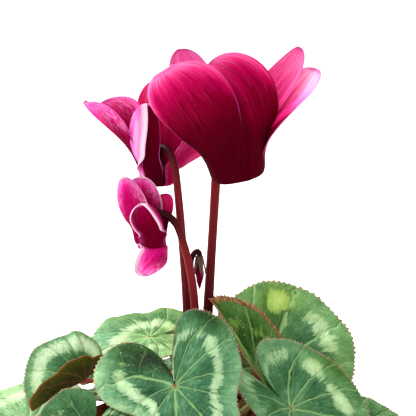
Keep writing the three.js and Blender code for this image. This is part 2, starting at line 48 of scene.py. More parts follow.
# Driving dimensions, in millimetres and degrees. Rows, rings, columns and sides say how fine a form is.
POT = dict(height=95, foot=37, rim=56, wall=4.5, floor=6, band=21, proud=2.5, lip=1.6, core=0.4, hole=3.5,
           hole_ring=22, holes=4, hole_sides=40, drill=30, mark=0.05, marks_from=30, row=2.2, sides=144)
SOIL = dict(level=82, mound=2.5, bump=0.9, gap=0.2, skirt=4, rings=46, sides=150)
CRUMBS = dict(count=620, size=(0.5, 1.5), white_every=12, white_size=0.8, raised=0.25)
TUBER = dict(radius=22, half_height=14, centre=77.5, rows=58, sides=120)
LEAF = dict(teeth=118, tooth=0.026, thick=0.62, slit=0.06, rings=19, stalk=(1.35, 1.0), stalk_rows=60,
            stalk_sides=14, middling=31)
VEINS = (0, 37, 73, 108, 144)
VEIN_SWEEP = 0.16
SIDE_VEINS = dict(spacing=4.2, slope=0.8)
STALK = dict(radius=(1.95, 1.6), socket=3.5, rows=130, sides=20)
HAIRS = dict(count=420, length=(0.3, 0.62), slant=0.4, half_width=0.035)
TUBE = dict(radius=5.6, neck=2.6, height=9, corner=1.2, sides=60)
ANTHERS = dict(count=5, radius=(1.1, 0.25), rows=12, sides=8)
STYLE = dict(radius=(0.4, 0.3), rows=10, sides=8)
CALYX = dict(sepals=5, clear=1.1, thick=0.5, keel=0.12, rows=14, sides=100)
PETAL = dict(thick=0.5, fold_foot=3, root=5.3, length=34, rows=44, fold_rows=9, columns=41, bend_steps=40)
BUD = dict(ridges=5, depth=0.14, turns=0.35, tone=0.36, rows=46, sides=70)
# How far the noise of one piece is shifted from that of the next
NOISE_SHIFT = dict(leaf=0.137, petal=0.173, stalk=0.21, bud=0.3)

# Pairs of broad, fold and curve are for the left and the right half, and those of arch for the parts before
# and behind the joint. Bulges widen the outline: the direction off the midrib in radians, the amount and the
# width. Tone spots, tints and patches are soft spots of tone, warmth and light marking: the direction,
# the share of the way to the margin, the widths in both, and the amount. Besides the leaf's own colour,
# the tone spots are painted shade where a blade turns away from the light and painted light where it
# turns towards it. Some tints and patches go with them: warmer, with fainter marking, in the painted
# shade, and greyer in the painted sheen on a near half. Light is the ring of pale marking: its share of
# the way to the margin, its width and its strength. Drifts move it outwards: the direction, the width and
# the share.
LEAF_DEFAULTS = dict(
    length=31, broad=(1, 1), skew=0, lobes=1, fold=(12, 12), curve=(-0.006, -0.006), arch=(-0.012, -0.004),
    wave=0.9, waves=5, phase=0, ring=9.5, lean=14, arrive=(1, 0.35), notch=0.16, bulges=(), tone=0.4,
    warm=0.3, light=(0.7, 0.12, 0.8), drifts=(), tone_and_painted_light=(), tints=(), patches=(), blush=0,
)
UPPER_LEAVES = {
    "leaf_front": dict(
        joint=(-6.4, -35, 132), heading=-73, pitch=-50.5, roll=17, length=35, fold=(12, -14),
        broad=(0.98, 1.3), skew=0.55, arch=(-0.003, -0.004), arrive=(1, 0.1), root=-100, notch=0.27,
        bulges=((-1.4, -0.46, 0.6), (0.6, -0.28, 0.5), (1.9, 0.14, 0.45)), tone=0.58, warm=0.0,
        light=(0.66, 0.13, 0.9), drifts=((-1.9, 0.5, -0.1), (-2.45, 0.2, 0.08), (2.2, 0.3, 0.06)),
        tints=((-2.9, 0.75, 0.4, 0.4, 0.7), (2.1, 0.95, 0.4, 0.15, 0.6)),
        tone_and_painted_light=((-2.85, 0.75, 0.35, 0.45, -0.54), (-2.3, 0.98, 0.35, 0.16, 0.2), (-1.7, 0.92, 0.7, 0.2, 0.2),
                (2.35, 0.98, 0.3, 0.16, -0.34), (1.95, 0.88, 0.25, 0.14, -0.3), (0.9, 0.95, 0.7, 0.12, 0.12),
                (-1.9, 0.32, 0.5, 0.16, -0.16), (2.2, 0.35, 0.8, 0.25, 0.08)),
        patches=((-3.0, 0.7, 0.4, 0.4, -0.7), (-2.3, 0.66, 0.25, 0.1, 0.35), (-1.9, 0.55, 0.35, 0.1, 0.4),
                 (-1.45, 0.6, 0.35, 0.1, 0.4), (1.0, 0.66, 0.7, 0.1, 0.2), (1.85, 0.7, 0.2, 0.14, 0.35))),
    "leaf_front_right": dict(
        joint=(33.2, -28, 120.8), heading=-35, pitch=-34, roll=47, length=32, fold=(4, 42), broad=(1, 0.65),
        root=-52, tone=0.6, warm=0.15, light=(0.72, 0.14, 0.6), tone_and_painted_light=((1.5, 0.97, 0.5, 0.12, -0.22),),
        tints=((1.5, 0.96, 0.5, 0.16, 0.7),),
        patches=((1.82, 0.75, 0.22, 0.13, 0.7), (2.52, 0.8, 0.18, 0.1, 0.3), (2.2, 0.76, 0.14, 0.2, -0.4),
                 (0.95, 0.7, 0.3, 0.12, 0.5))),
    "leaf_back_right": dict(
        joint=(27.8, 15.4, 121.3), heading=54, pitch=51, roll=30, length=36.5, fold=(6, 6),
        broad=(1, 1.28), lobes=0.6, arch=(-0.01, -0.01), root=38, tone=0.63, warm=0.6, light=(0.7, 0.1, 0.12),
        patches=((0.2, 0.75, 0.21, 0.17, 0.95), (-0.45, 0.72, 0.3, 0.16, 0.6),
                 (-0.82, 0.74, 0.22, 0.15, 0.5)),
        tints=((0.2, 0.75, 0.25, 0.18, 0.9), (-0.5, 0.6, 0.5, 0.3, -0.5)),
        tone_and_painted_light=((-0.5, 0.6, 0.6, 0.3, 0.06), (-0.3, 0.4, 0.5, 0.16, -0.08))),
    "leaf_inner_right": dict(
        joint=(23, 0.5, 124.5), heading=185, pitch=62, roll=-60, length=32, fold=(62, 22), broad=(0.75, 0.62),
        root=-8, tone=0.52, warm=0.85, blush=1.9, light=(0.62, 0.14, 0.55)),
    "leaf_back_left": dict(
        joint=(-18, 22, 129.5), heading=191, pitch=-6, roll=-8, length=28, lobes=0.9, fold=(5, 10), root=128,
        tone=0.74, warm=0.6, light=(0.5, 0.24, 0.62),
        tone_and_painted_light=((-1.6, 0.82, 1.1, 0.26, -0.24), (0.3, 0.8, 1.0, 0.5, 0.16)),
        tints=((0.6, 0.7, 1.1, 0.6, -0.6), (-1.6, 0.45, 1.0, 0.25, -0.5), (-0.4, 0.85, 0.35, 0.3, -0.5)),
        patches=((-1.6, 0.4, 1.1, 0.12, 0.4), (0.4, 0.8, 0.7, 0.3, 0.3), (-0.4, 0.9, 0.35, 0.25, -0.3))),
    "leaf_left": dict(
        joint=(-40.5, -6, 123), heading=205, pitch=-18, roll=-25, length=22, fold=(105, 45),
        curve=(-0.006, -0.035), broad=(0.62, 1.3), lobes=0.6, root=192, tone=0.79, warm=0.3,
        light=(0.74, 0.15, 1.3), tone_and_painted_light=((-1.3, 0.4, 1.2, 0.2, -0.28), (-1.2, 1.0, 2.0, 0.12, -0.26)),
        tints=((-1.3, 0.74, 1.5, 0.2, -0.5),)),
    "leaf_low_left": dict(
        joint=(-63, 4, 101.5), heading=195, pitch=-16, roll=-22, length=29, fold=(22, 12), ring=14.5, lean=24,
        root=174, tone=0.92, warm=0.15, patches=((-1.5, 0.75, 1.2, 0.4, 0.3),)),
    "leaf_low_front": dict(
        joint=(-35.5, -38, 115.4), heading=246, pitch=-34, roll=-20, length=26, lobes=0.8, ring=14.5, lean=24,
        root=236, tone=0.5, warm=0.2),
    "leaf_low_right": dict(
        joint=(62, 3, 98), heading=-12, pitch=-14, roll=14, length=28, fold=(8, 20), ring=14.5, lean=24,
        root=2, tone=0.56, warm=0.4),
}
# The leaves below and behind: the joint's direction, distance and height, then pitch, roll and length
SKIRT_LEAVES = (
    (105, 40, 112, -3, 0, 27), (69, 43, 116, -4, 10, 28), (138, 45, 114, -2, -8, 24),
    (42, 59, 98, -9, 5, 27), (85, 59, 98, -9, 0, 27), (126, 59, 98, -9, -5, 27), (-144, 59, 98, -11, -5, 27),
    (-108, 58, 98, -11, -3, 25), (-69, 58, 98, -11, 3, 26), (-36, 59, 98, -11, 5, 27),
)

# A flap is where the left side folds over, as a share of its width, and how far, in degrees.
# Tones run from 0, nearly black, to 1, nearly white. A tilt makes the right side lighter and the left darker.
# The rims are the widths of the light margin on the right, on the left and at the tip, and white is how light
# it is. A sheen and pale edge makes the blade paler towards its edge and tip, partly as the petal's own pale
# edge and partly as painted sheen: by how much, and over what width.
PETAL_DEFAULTS = dict(
    root=1, proud=0, twist=0, width=25, halves=(1, 1), widest=0.6, point=2.6, bow=45, roll=(0, 0),
    free=(9.8, 3), leave=0.36, nod=(0, 0, 0), rim_from=0, flap=(1, 0), base_tone=0.05, tip_tone=0.6, tilt=0.0,
    rims=(0.3, 0.3, 0.4), white=0.6, violet=0.0, sheen_and_pale_edge=(0, 1),
)
BLOOM_DEFAULTS = dict(axis=(0, 0, 1), lean=0, thin=0.85)
BLOOMS = {
    "bloom_large": dict(
        mouth=(16, 0, 198), axis=(-0.2, 0, 1), size=1, root=(-20, 3), shoulder=(8.3, 12.3, 207),
        heading=(0.05, 0, 1), loop=(15, 14), thin=1,
        petals=(
            dict(base=234, tip=(-27, -13, 38), root=1.4, proud=1.0, twist=16, width=34, bow=42,
                 nod=(-0.1, 0, 0), rim_from=0.2, base_tone=0.1, tip_tone=0.55, rims=(0.25, 0.8, 0.9),
                 white=0.75, sheen_and_pale_edge=(0.28, 3.4)),
            dict(base=306, tip=(-12, -7, 39), twist=-46, width=34, halves=(1, 0.8), root=1.1, widest=0.42,
                 bow=45, nod=(-0.6, 0.2, -0.2), base_tone=0.16, tip_tone=0.57, rims=(0.3, 0.3, 0.9),
                 sheen_and_pale_edge=(0.22, 4)),
            dict(base=18, tip=(28, 8, 37), twist=22, width=22, bow=30, base_tone=0.42, tip_tone=0.92,
                 rims=(0.6, 0.6, 1.5), violet=0.2),
            dict(base=86, tip=(22, 14, 44.5), twist=-10, width=17, halves=(0.6, 1.15), point=1.5, root=0.65,
                 base_tone=0.34, tip_tone=0.82, rims=(0.5, 0.5, 1.0), violet=0.15),
            dict(base=170, tip=(-21, 12, 44), twist=-34, width=23, bow=20, root=0.6, base_tone=0.36,
                 tip_tone=0.8, rims=(0.5, 0.5, 1.0), violet=0.5),
        )),
    "bloom_middle": dict(
        mouth=(-13.8, 12, 193.2), size=0.66, root=(120, 4.5), shoulder=(-6.6, 1.6, 196.5),
        heading=(-0.1, 0.06, 1), loop=(12, 10),
        petals=(
            # Dark tones on the first petal: its deep colour and painted shade where it turns from the light
            dict(base=246, tip=(-3.2, -8, 30), root=1.14, twist=45, width=17, halves=(0.55, 1.6), bow=20,
                 flap=(0.42, 168), base_tone=0.18, tip_tone=0.3, rims=(0.3, 3.4, 0.8), white=1.0, violet=1.0),
            dict(base=332, tip=(21, 6, 18), root=0.8, twist=-12, width=21, halves=(1, 0.85), bow=20,
                 base_tone=0.54, tip_tone=0.64, rims=(0.2, 0.2, 0.4), white=0.1, violet=0.4),
            dict(base=34, tip=(2, 8, 38), twist=50, width=24, base_tone=0.5, tip_tone=0.72),
            dict(base=106, tip=(-21, 4, 29), twist=140, width=26, point=1.9, base_tone=0.3, tip_tone=0.6,
                 rims=(0.4, 0.4, 1.2), violet=0.8, sheen_and_pale_edge=(0.2, 3)),
            dict(base=178, tip=(-26, -6, 30), twist=30, width=22.5, widest=0.72, point=3.4, base_tone=0.24,
                 tip_tone=0.62, tilt=-0.08, rims=(0.6, 0.6, 2.0), violet=1.0, sheen_and_pale_edge=(0.24, 3)),
        )),
    "bloom_small": dict(
        mouth=(-15.5, -6, 175), size=0.64, root=(240, 4.5), shoulder=(-5.6, -5, 179), heading=(-0.35, 0, 1),
        loop=(7, 6),
        petals=(
            dict(base=278, tip=(-3, -8, 15.5), root=1.3, proud=0.65, twist=-14, width=16, halves=(1.25, 1),
                 rim_from=0.1, bow=-64, roll=(-120, -60), base_tone=0.3, tip_tone=0.45, rims=(1.3, 2.4, 1.4),
                 white=1.0, violet=0.6),
            dict(base=216, tip=(-10, 3, 23), twist=36, width=14, widest=0.3, point=1.7, root=1.2,
                 base_tone=0.4, tip_tone=0.6, rims=(0.6, 1.2, 1.5), white=0.9, violet=1.0, sheen_and_pale_edge=(0.26, 2.4)),
            dict(base=120, tip=(-4, 6, 22.5), root=0.8, twist=-30, width=15, widest=0.42, bow=30,
                 base_tone=0.36, tip_tone=0.6, rims=(0.8, 0.8, 1.2), white=0.9, violet=1.0, sheen_and_pale_edge=(0.26, 2.4)),
            dict(base=60, tip=(6, 7, 16), width=10, root=0.8, base_tone=0.3, tip_tone=0.62),
            dict(base=287, tip=(-4.6, -6.6, -10.5), free=(8.2, -2.4), leave=-0.1, root=1.5, twist=-12,
                 width=12.4, halves=(1, 0.85), widest=0.2, point=1.6, bow=30, base_tone=0.6, tip_tone=0.74,
                 tilt=-0.16, rims=(0.4, 2.4, 3.6), white=1.0, violet=1.0, sheen_and_pale_edge=(0.26, 3)),
        )),
}
BUDS = {
    "bud_high": dict(
        mouth=(1.6, 5, 166), root=(75, 4.5), shoulder=(-1.6, 5, 164), heading=(0, 0, 1), loop=(4, 3.5),
        thin=0.62, length=12, width=3, wrapped=0.55),
    "bud_low": dict(
        mouth=(4, 30, 136), axis=(0, 0.1, 1), root=(80, 9.5), shoulder=(4, 24, 135), heading=(-0.05, 0.25, 1),
        loop=(6, 5), lean=8, thin=0.66, length=15, width=7, wrapped=0.3),
}

# The room, in metres: a pale floor, a soft bright sky, a window behind to the left and a soft front light
FLOOR = dict(size=60, below=0.0005, colour=(250, 250, 250), roughness=0.9)
LAMPS = dict(window=dict(spot=(-0.9, 0.55, 1.0), size=0.45, power=22),
             front=dict(spot=(-0.3, -1.1, 0.9), size=0.8, power=5))
LAMPS_AIM = (0, 0, 0.17)
SKY = dict(towards=(-0.45, 0.5, 0.74), dim_at=-0.5, bright_at=0.9, low=0.35, high=1.9)
EXPOSURE = 0.15

# The photograph's view: a 90 mm lens, 374 mm from the point it looks at, 12 degrees above level
CAMERA = dict(lens=90, sensor=36, distance=374, elevation=12, target=(4.7, 0, 186))


# Small tools for points

def around(azimuth, radius=1.0, z=0.0):
    a = np.radians(azimuth)
    return np.array([radius * np.cos(a), radius * np.sin(a), z])


def circle(sides):
    return np.linspace(0, 2 * np.pi, sides, endpoint=False)


def round_points(radius, angle, z):
    """Points round the z axis, row by row."""
    radius, angle, z = np.broadcast_arrays(radius, angle, z)
    return np.stack([radius * np.cos(angle), radius * np.sin(angle), z], -1).reshape(-1, 3)


def unit(v):
    v = np.asarray(v, float)
    return v / np.maximum(np.linalg.norm(v, axis=-1, keepdims=True), 1e-9)


def smooth(t):
    c = np.clip(t, 0, 1)
    return c * c * (3 - 2 * c)


def hump(off, width):
    """1 in the middle, and falling softly to 0 on both sides."""
    return np.exp(-((off / width) ** 2))


def blend_to(a, b, t):
    return a + (b - a) * t


def bezier(corners, t):
    a, b, c, d = (np.asarray(p, float) for p in corners)
    t = np.asarray(t, float)[..., None]
    return a * (1 - t) ** 3 + 3 * b * t * (1 - t) ** 2 + 3 * c * t * t * (1 - t) + d * t ** 3


def bezier_tangent(corners, t):
    a, b, c, d = (np.asarray(p, float) for p in corners)
    t = np.asarray(t, float)[..., None]
    return unit(3 * (b - a) * (1 - t) ** 2 + 6 * (c - b) * t * (1 - t) + 3 * (d - c) * t * t)


def run_of(curves, count):
    """Points evenly spaced along a chain of bezier curves."""
    fine = np.vstack([bezier(curve, np.linspace(0, 1, 200)) for curve in curves])
    way = np.r_[0, np.cumsum(np.linalg.norm(np.diff(fine, axis=0), axis=1))]
    at = np.linspace(0, way[-1], count)
    return np.stack([np.interp(at, way, fine[:, i]) for i in range(3)], -1)


def ripple(x, y, seed):
    """A smooth uneven value from about -1 to 1 at each x, y."""
    draw = np.random.default_rng(seed)
    total = 0
    for _ in range(6):
        fx, fy, shift = draw.normal(0, 1), draw.normal(0, 1), draw.uniform(0, 2 * np.pi)
        total = total + np.sin(fx * x + fy * y + shift)
    return total / 3


def uneven(points, scale, seed):
    """Noise from -1 to 1 at each point, given in millimetres."""
    shift = Vector((seed, 2.3 * seed, -seed))
    return np.array([noise.noise(Vector(p) * scale + shift) for p in points])


# Faces

def grid(rows, columns, closed=False, turn=False):
    """Quads between the rows of a grid of points, closed round where its last column meets its first."""
    i, k = np.mgrid[0:rows - 1, 0:columns if closed else columns - 1]
    a, b = i * columns + k, i * columns + (k + 1) % columns
    quads = np.stack([a, a + columns, b + columns, b], -1).reshape(-1, 4)
    return quads[:, ::-1] if turn else quads


def fan(centre, ring, turn=False):
    """Triangles from a point to each pair of neighbours in a ring."""
    faces = np.stack([np.full(len(ring) - 1, centre), ring[:-1], ring[1:]], -1)
    return faces[:, ::-1] if turn else faces


def round_faces(rows, sides, turn=True):
    """The faces of a round body, whose points are its rows, one after the other, and then its two ends."""
    first_end = rows * sides
    ring = np.r_[np.arange(sides), 0]
    return [grid(rows, sides, closed=True, turn=turn), fan(first_end, ring, turn=turn),
            fan(first_end + 1, ring + (rows - 1) * sides, turn=not turn)]


def point_normals(points, faces):
    normals = np.zeros_like(points)
    for group in faces:
        a, b, c, d = (points[group[:, i]] for i in (0, 1, 2, -1))
        flat = np.cross(c - a, d - b) if group.shape[1] == 4 else np.cross(b - a, c - a)
        for i in range(group.shape[1]):
            np.add.at(normals, group[:, i], flat)
    return unit(normals)


def open_edges(faces, count):
    edges = np.vstack([np.stack([g, np.roll(g, -1, axis=1)], -1).reshape(-1, 2) for g in faces])
    ahead, back = edges[:, 0] * count + edges[:, 1], edges[:, 1] * count + edges[:, 0]
    return edges[~np.isin(ahead, back)]


# Pieces: points in millimetres, faces, and the values that the materials read at each point

VALUES = ("along", "across", "seed", "tone", "edge", "warm", "pale")


class Form:
    """One piece as it is put together."""

    def __init__(self, name, *materials):
        self.name, self.materials = name, materials
        self.points, self.faces, self.slots = [], [], []
        self.values = {key: [] for key in VALUES}
        self.count = 0

    def add_faces(self, groups, first, slot):
        for group in groups:
            self.faces += (group + first).tolist()
            self.slots += [slot] * len(group)

    def add(self, points, faces, slot=0, **values):
        self.add_faces(faces, self.count, slot)
        self.points.append(points)
        for key in VALUES:
            self.values[key].append(np.broadcast_to(values.get(key, 0.0), len(points)))
        self.count += len(points)

    def add_sheet(self, points, faces, thick, slots=(0, 0, 0), **values):
        """A sheet with a real thickness: its upper side, its lower side and its rim."""
        first, count = self.count, len(points)
        push = point_normals(points, faces) * (np.broadcast_to(thick, count) / 2)[:, None]
        values = {key: np.tile(np.broadcast_to(value, count), 2) for key, value in values.items()}
        self.add(np.vstack([points + push, points - push]), faces, slots[0], **values)
        self.add_faces([group[:, ::-1] + count for group in faces], first, slots[1])
        a, b = open_edges(faces, count).T
        self.add_faces([np.stack([a, a + count, b + count, b], -1)], first, slots[2])

    def make(self, node):
        """The finished piece, which takes the place of one of the solids' nodes."""
        mesh = bpy.data.meshes.new(self.name)
        mesh.from_pydata((np.vstack(self.points) * MM).tolist(), [], self.faces)
        mesh.polygons.foreach_set("material_index", self.slots)
        mesh.polygons.foreach_set("use_smooth", [True] * len(self.faces))
        for key in VALUES:
            layer = mesh.attributes.new(key, "FLOAT", "POINT")
            layer.data.foreach_set("value", np.concatenate(self.values[key]).astype(np.float32))
        for material in self.materials:
            mesh.materials.append(material)
        piece = bpy.data.objects.new(self.name, mesh)
        bpy.context.scene.collection.objects.link(piece)
        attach(piece, "root")
        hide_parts(node)
        return piece


def add_sweep(form, points, radii, sides, slot=0, **values):
    """A round stalk along points, with rounded ends."""
    count = len(points)
    along = unit(np.gradient(points, axis=0))
    across = np.zeros_like(points)
    side = np.cross(along[0], (0, 0, 1) if abs(along[0][2]) < 0.9 else (1, 0, 0))
    for i in range(count):
        side = unit(side - along[i] * side.dot(along[i]))
        across[i] = side
    other = np.cross(along, across)
    a = circle(sides)
    ring = np.cos(a)[None, :, None] * across[:, None] + np.sin(a)[None, :, None] * other[:, None]
    body = points[:, None] + ring * radii[:, None, None]
    ends = points[0] - along[0] * 0.3 * radii[0], points[-1] + along[-1] * 0.5 * radii[-1]
    form.add(np.vstack([body.reshape(-1, 3), *ends]), round_faces(count, sides), slot,
             along=np.r_[np.repeat(np.linspace(0, 1, count), sides), 0, 1],
             across=np.r_[np.tile(a, count), 0, 0], **values)


# Materials, whose colours are given as they look on a screen, from 0 to 255

def srgb(*levels):
    """A colour as a shader takes it."""
    def linear(level):
        share = level / 255
        return share / 12.92 if share <= 0.04045 else ((share + 0.055) / 1.055) ** 2.4
    return (*map(linear, levels), 1.0)


def operation(kind):
    """A sum as a method of Value."""
    return lambda value, *others: value.graph.math(kind, value, *others)


class Value:
    """A socket that sums can be done with."""

    def __init__(self, graph, socket):
        self.graph, self.socket = graph, socket

    __add__ = __radd__ = operation("ADD")
    __mul__ = __rmul__ = operation("MULTIPLY")
    __sub__ = operation("SUBTRACT")
    __truediv__ = operation("DIVIDE")
    __pow__ = operation("POWER")
    __abs__ = operation("ABSOLUTE")
    least = operation("MINIMUM")
    fraction = operation("FRACT")

    def __rsub__(self, other):
        return self.graph.math("SUBTRACT", other, self)

    def step(self, low, high):
        """Goes smoothly from 0 to 1 between low and high."""
        return self.graph.add("ShaderNodeMapRange", {"Value": self, "From Min": low, "From Max": high},
                              "Result", interpolation_type="SMOOTHSTEP")


class Graph:
    """A material, and the nodes that are added to it."""

    def __init__(self, name):
        self.material = bpy.data.materials.new(name)
        self.material.use_nodes = True
        self.tree = self.material.node_tree
        self.tree.nodes.clear()

    def add(self, kind, inputs, output, **settings):
        """Adds a node with its inputs, and gives the value of one of its outputs."""
        node = self.tree.nodes.new(kind)
        for key, value in settings.items():
            setattr(node, key, value)
        for key, value in inputs.items():
            socket = node.inputs[key]
            if isinstance(value, Value):
                self.tree.links.new(value.socket, socket)
            else:
                socket.default_value = srgb(*value) if socket.type == "RGBA" else value
        return Value(self, node.outputs[output])

    def math(self, kind, *values):
        return self.add("ShaderNodeMath", dict(enumerate(values)), 0, operation=kind)

    def values(self, *names):
        """What the forms say at each point, by name."""
        return [self.add("ShaderNodeAttribute", {}, "Fac", attribute_name=name) for name in names]

    def vector(self, x, y, z):
        return self.add("ShaderNodeCombineXYZ", {0: x, 1: y, 2: z}, 0)

    def place(self):
        """Where the point is, in metres."""
        return self.add("ShaderNodeTexCoord", {}, "Object")

    def noise(self, at, scale, detail=3.0, roughness=0.55):
        inputs = {"Vector": at, "Scale": scale, "Detail": detail, "Roughness": roughness}
        return self.add("ShaderNodeTexNoise", inputs, "Fac")

    def flow(self, at, stretch, *fineness):
        """Noise over a form's own values, each multiplied by its stretch."""
        return self.noise(self.vector(*(value * times for value, times in zip(at, stretch))), *fineness)

    def cells(self, at, scale, feature="F1"):
        return self.add("ShaderNodeTexVoronoi", {"Vector": at, "Scale": scale}, "Distance", feature=feature)

    def ramp(self, value, stops):
        """A colour for each value, through stops of (value, colour)."""
        ramp = self.add("ShaderNodeValToRGB", {0: value}, 0)
        elements = ramp.socket.node.color_ramp.elements
        while len(elements) < len(stops):
            elements.new(0.5)
        for element, (at, colour) in zip(elements, stops):
            element.position, element.color = at, srgb(*colour)
        return ramp

    def mix(self, share, a, b):
        return self.add("ShaderNodeMix", {0: share, 6: a, 7: b}, 2, data_type="RGBA")

    def bump(self, height, distance):
        return self.add("ShaderNodeBump", {"Height": height, "Distance": distance, "Strength": 1.0}, 0)

    def finish(self, colour, roughness, normal=None, through=None, share=0.0, specular=0.5):
        """The surface: a Principled shader, mixed with light that comes through from behind."""
        facing = {} if normal is None else {"Normal": normal}
        surface = {"Base Color": colour, "Roughness": roughness, "Specular IOR Level": specular}
        end = self.add("ShaderNodeBsdfPrincipled", surface | facing, 0)
        if through is not None:
            behind = self.add("ShaderNodeBsdfTranslucent", {"Color": through} | facing, 0)
            end = self.add("ShaderNodeMixShader", {0: share, 1: end, 2: behind}, 0)
        self.tree.links.new(end.socket, self.tree.nodes.new("ShaderNodeOutputMaterial").inputs[0])
        return self.material


def vein_lines(g, rho, theta, seed):
    """How near the main veins are, in millimetres on a middling leaf, and the side veins, from 0 to 1."""
    warp = g.flow((theta, rho, seed), (1.3, 3, 40), 1.7, 2) - 0.5
    side = abs(theta)
    near = None
    for angle in VEINS:
        line = (1 - (rho ** 1.5) * VEIN_SWEEP) * math.radians(angle)
        gap = abs(side - line + warp * 0.2) * rho * LEAF["middling"]
        near = gap if near is None else near.least(gap)
    order = (rho * LEAF["middling"] - near * SIDE_VEINS["slope"]) / SIDE_VEINS["spacing"] + warp * 0.7
    branch = abs(order.fraction() - 0.5) * 2
    return near, branch.step(0.86, 0.98) * near.step(0.1, 0.8) * rho.step(0.1, 0.25)


def leaf_greens(g, value, warm):
    """The leaf's greens from dark to light, cool or warm."""
    cool = g.ramp(value, ((0.0, (14, 34, 18)), (0.25, (32, 70, 42)), (0.5, (62, 112, 74)),
                          (0.75, (112, 160, 114)), (1.0, (168, 206, 152))))
    sunny = g.ramp(value, ((0.0, (18, 38, 6)), (0.25, (44, 78, 22)), (0.5, (78, 118, 44)),
                           (0.75, (116, 158, 72)), (1.0, (172, 206, 108))))
    return g.mix(warm, cool, sunny)


def leaf_upper_material():
    g = Graph("leaf_upper")
    rho, theta, seed, tone, tooth, warm, pale = g.values(*VALUES)
    blade = theta, rho, seed
    near, branch = vein_lines(g, rho, theta, seed)
    vein = (1 - near.step(0.08, 0.8 - rho * 0.42 + warm * 0.4)) * (1 - rho.step(0.6, 0.95) * 0.45)

    # The green, darker inside the ring of light marking and lighter outside it
    mottle = g.noise(g.place(), 170, 5, 0.68) - 0.5
    rays = g.flow(blade, (8, 1.5, 19), 2.2, 5, 0.7) - 0.5
    grit = g.noise(g.place(), 1100, 3, 0.6) - 0.5
    inside = rho.step(0.15, 0.45) * (1 - rho.step(0.55, 0.72))
    outside = rho.step(0.68, 0.86)
    value = (tone - 0.05 - inside * 0.1 + outside * 0.1 + mottle * 0.62
             + rays * 0.75 * (1 - outside * 0.6) + grit * 0.25)
    colour = leaf_greens(g, value, warm)

    # The light marking, drawn out in tongues towards the joint and the margin
    tongue = g.flow(blade, (6, 1.3, 13), 2.4, 5, 0.7) - 0.5
    blot = g.noise(g.place(), 110, 3, 0.6) - 0.5
    band = (pale + tongue * 1.6 + blot * 0.7 + (near.step(0.0, 1.6) - 1) * 0.12).step(0.4, 0.56)
    brush = g.flow(blade, (16, 4, 7), 3, 4, 0.7)
    light = g.mix((tone * 1.2 + mottle * 0.9 + rays * 0.6 + pale * 0.6 - 0.8).least(1.0),
                  g.mix(warm, (134, 176, 122), (142, 182, 62)), g.mix(warm, (222, 246, 202), (214, 240, 140)))
    veil = (pale * 0.5 + 0.3).least(0.8)
    colour = g.mix(band * (brush.step(0.3, 0.6) * 0.3 + veil).least(0.95), colour, light)

    # The veins, the teeth, which are red and flaky where they blush, the spot at the joint, and fine grains
    colour = g.mix(branch * 0.14, colour, light)
    colour = g.mix(vein * 0.75, colour, leaf_greens(g, tone * 0.4 + warm * 0.2 + 0.63, 0.5))
    rosy = ((rho - 1.0) * 25 + tooth * 0.8 + 0.5).step(0.0, 1.2)
    flaky = g.flow(blade, (14, 9, 3), 2.0, 3, 0.7).step(0.42, 0.62)
    edging = g.mix(flaky, (138, 62, 38), (206, 142, 114))
    colour = g.mix(rosy * 0.8, colour, g.mix((tooth - 1.0).step(0.2, 0.9), (172, 128, 108), edging))
    colour = g.mix((1 - rho.step(0.012, 0.045)) * 0.9, colour, (140, 62, 52))
    grains = g.cells(g.place(), 640).step(0.17, 0.05) * g.noise(g.place(), 90, 1).step(0.5, 0.64)
    colour = g.mix(grains * 0.7, colour, (226, 240, 226))

    net = g.cells(g.place(), 520, "DISTANCE_TO_EDGE").step(0.0, 0.16)
    relief = near.step(0.0, 1.1) * 1.4 - branch * 0.5 + net * 0.3 + g.noise(g.place(), 1400, 2) * 0.12
    return g.finish(colour, g.noise(g.place(), 300, 2) * 0.25 + 0.4, g.bump(relief, 0.0003),
                    through=g.mix(0.35, colour, (130, 190, 50)), share=0.25, specular=0.1)


def leaf_lower_material():
    g = Graph("leaf_lower")
    rho, theta, seed, tooth, warm = g.values("along", "across", "seed", "edge", "warm")
    near, branch = vein_lines(g, rho, theta, seed)
    blush = g.flow((theta, rho, seed), (1.5, 2, 23), 2.2, 4)
    brown = g.mix(blush.step(0.3, 0.7), (34, 19, 6), (42, 37, 6))
    olive = g.mix(blush.step(0.3, 0.7), (92, 60, 20), (96, 104, 34))
    colour = g.mix(warm, brown, olive)
    colour = g.mix((rho + blush * 0.3).step(0.9, 1.25) * 0.7, colour, (118, 96, 22))
    colour = g.mix(branch * 0.4, colour, (160, 100, 70))
    colour = g.mix((1 - near.step(0.15, 0.8 - rho * 0.4)) * 0.7, colour, (166, 92, 70))
    rosy = (rho.step(0.93, 1.0) * (tooth * 0.6 + 0.4)).step(0.2, 0.95)
    colour = g.mix(rosy * 0.85, colour, (170, 74, 50))
    net = g.cells(g.place(), 520, "DISTANCE_TO_EDGE").step(0.0, 0.2)
    relief = (1 - near.step(0.0, 1.0)) * 1.8 + branch * 0.9 - net * 0.4
    return g.finish(colour, 0.55, g.bump(relief, 0.00025),
                    through=g.mix(0.5, colour, (150, 180, 50)), share=0.25, specular=0.2)


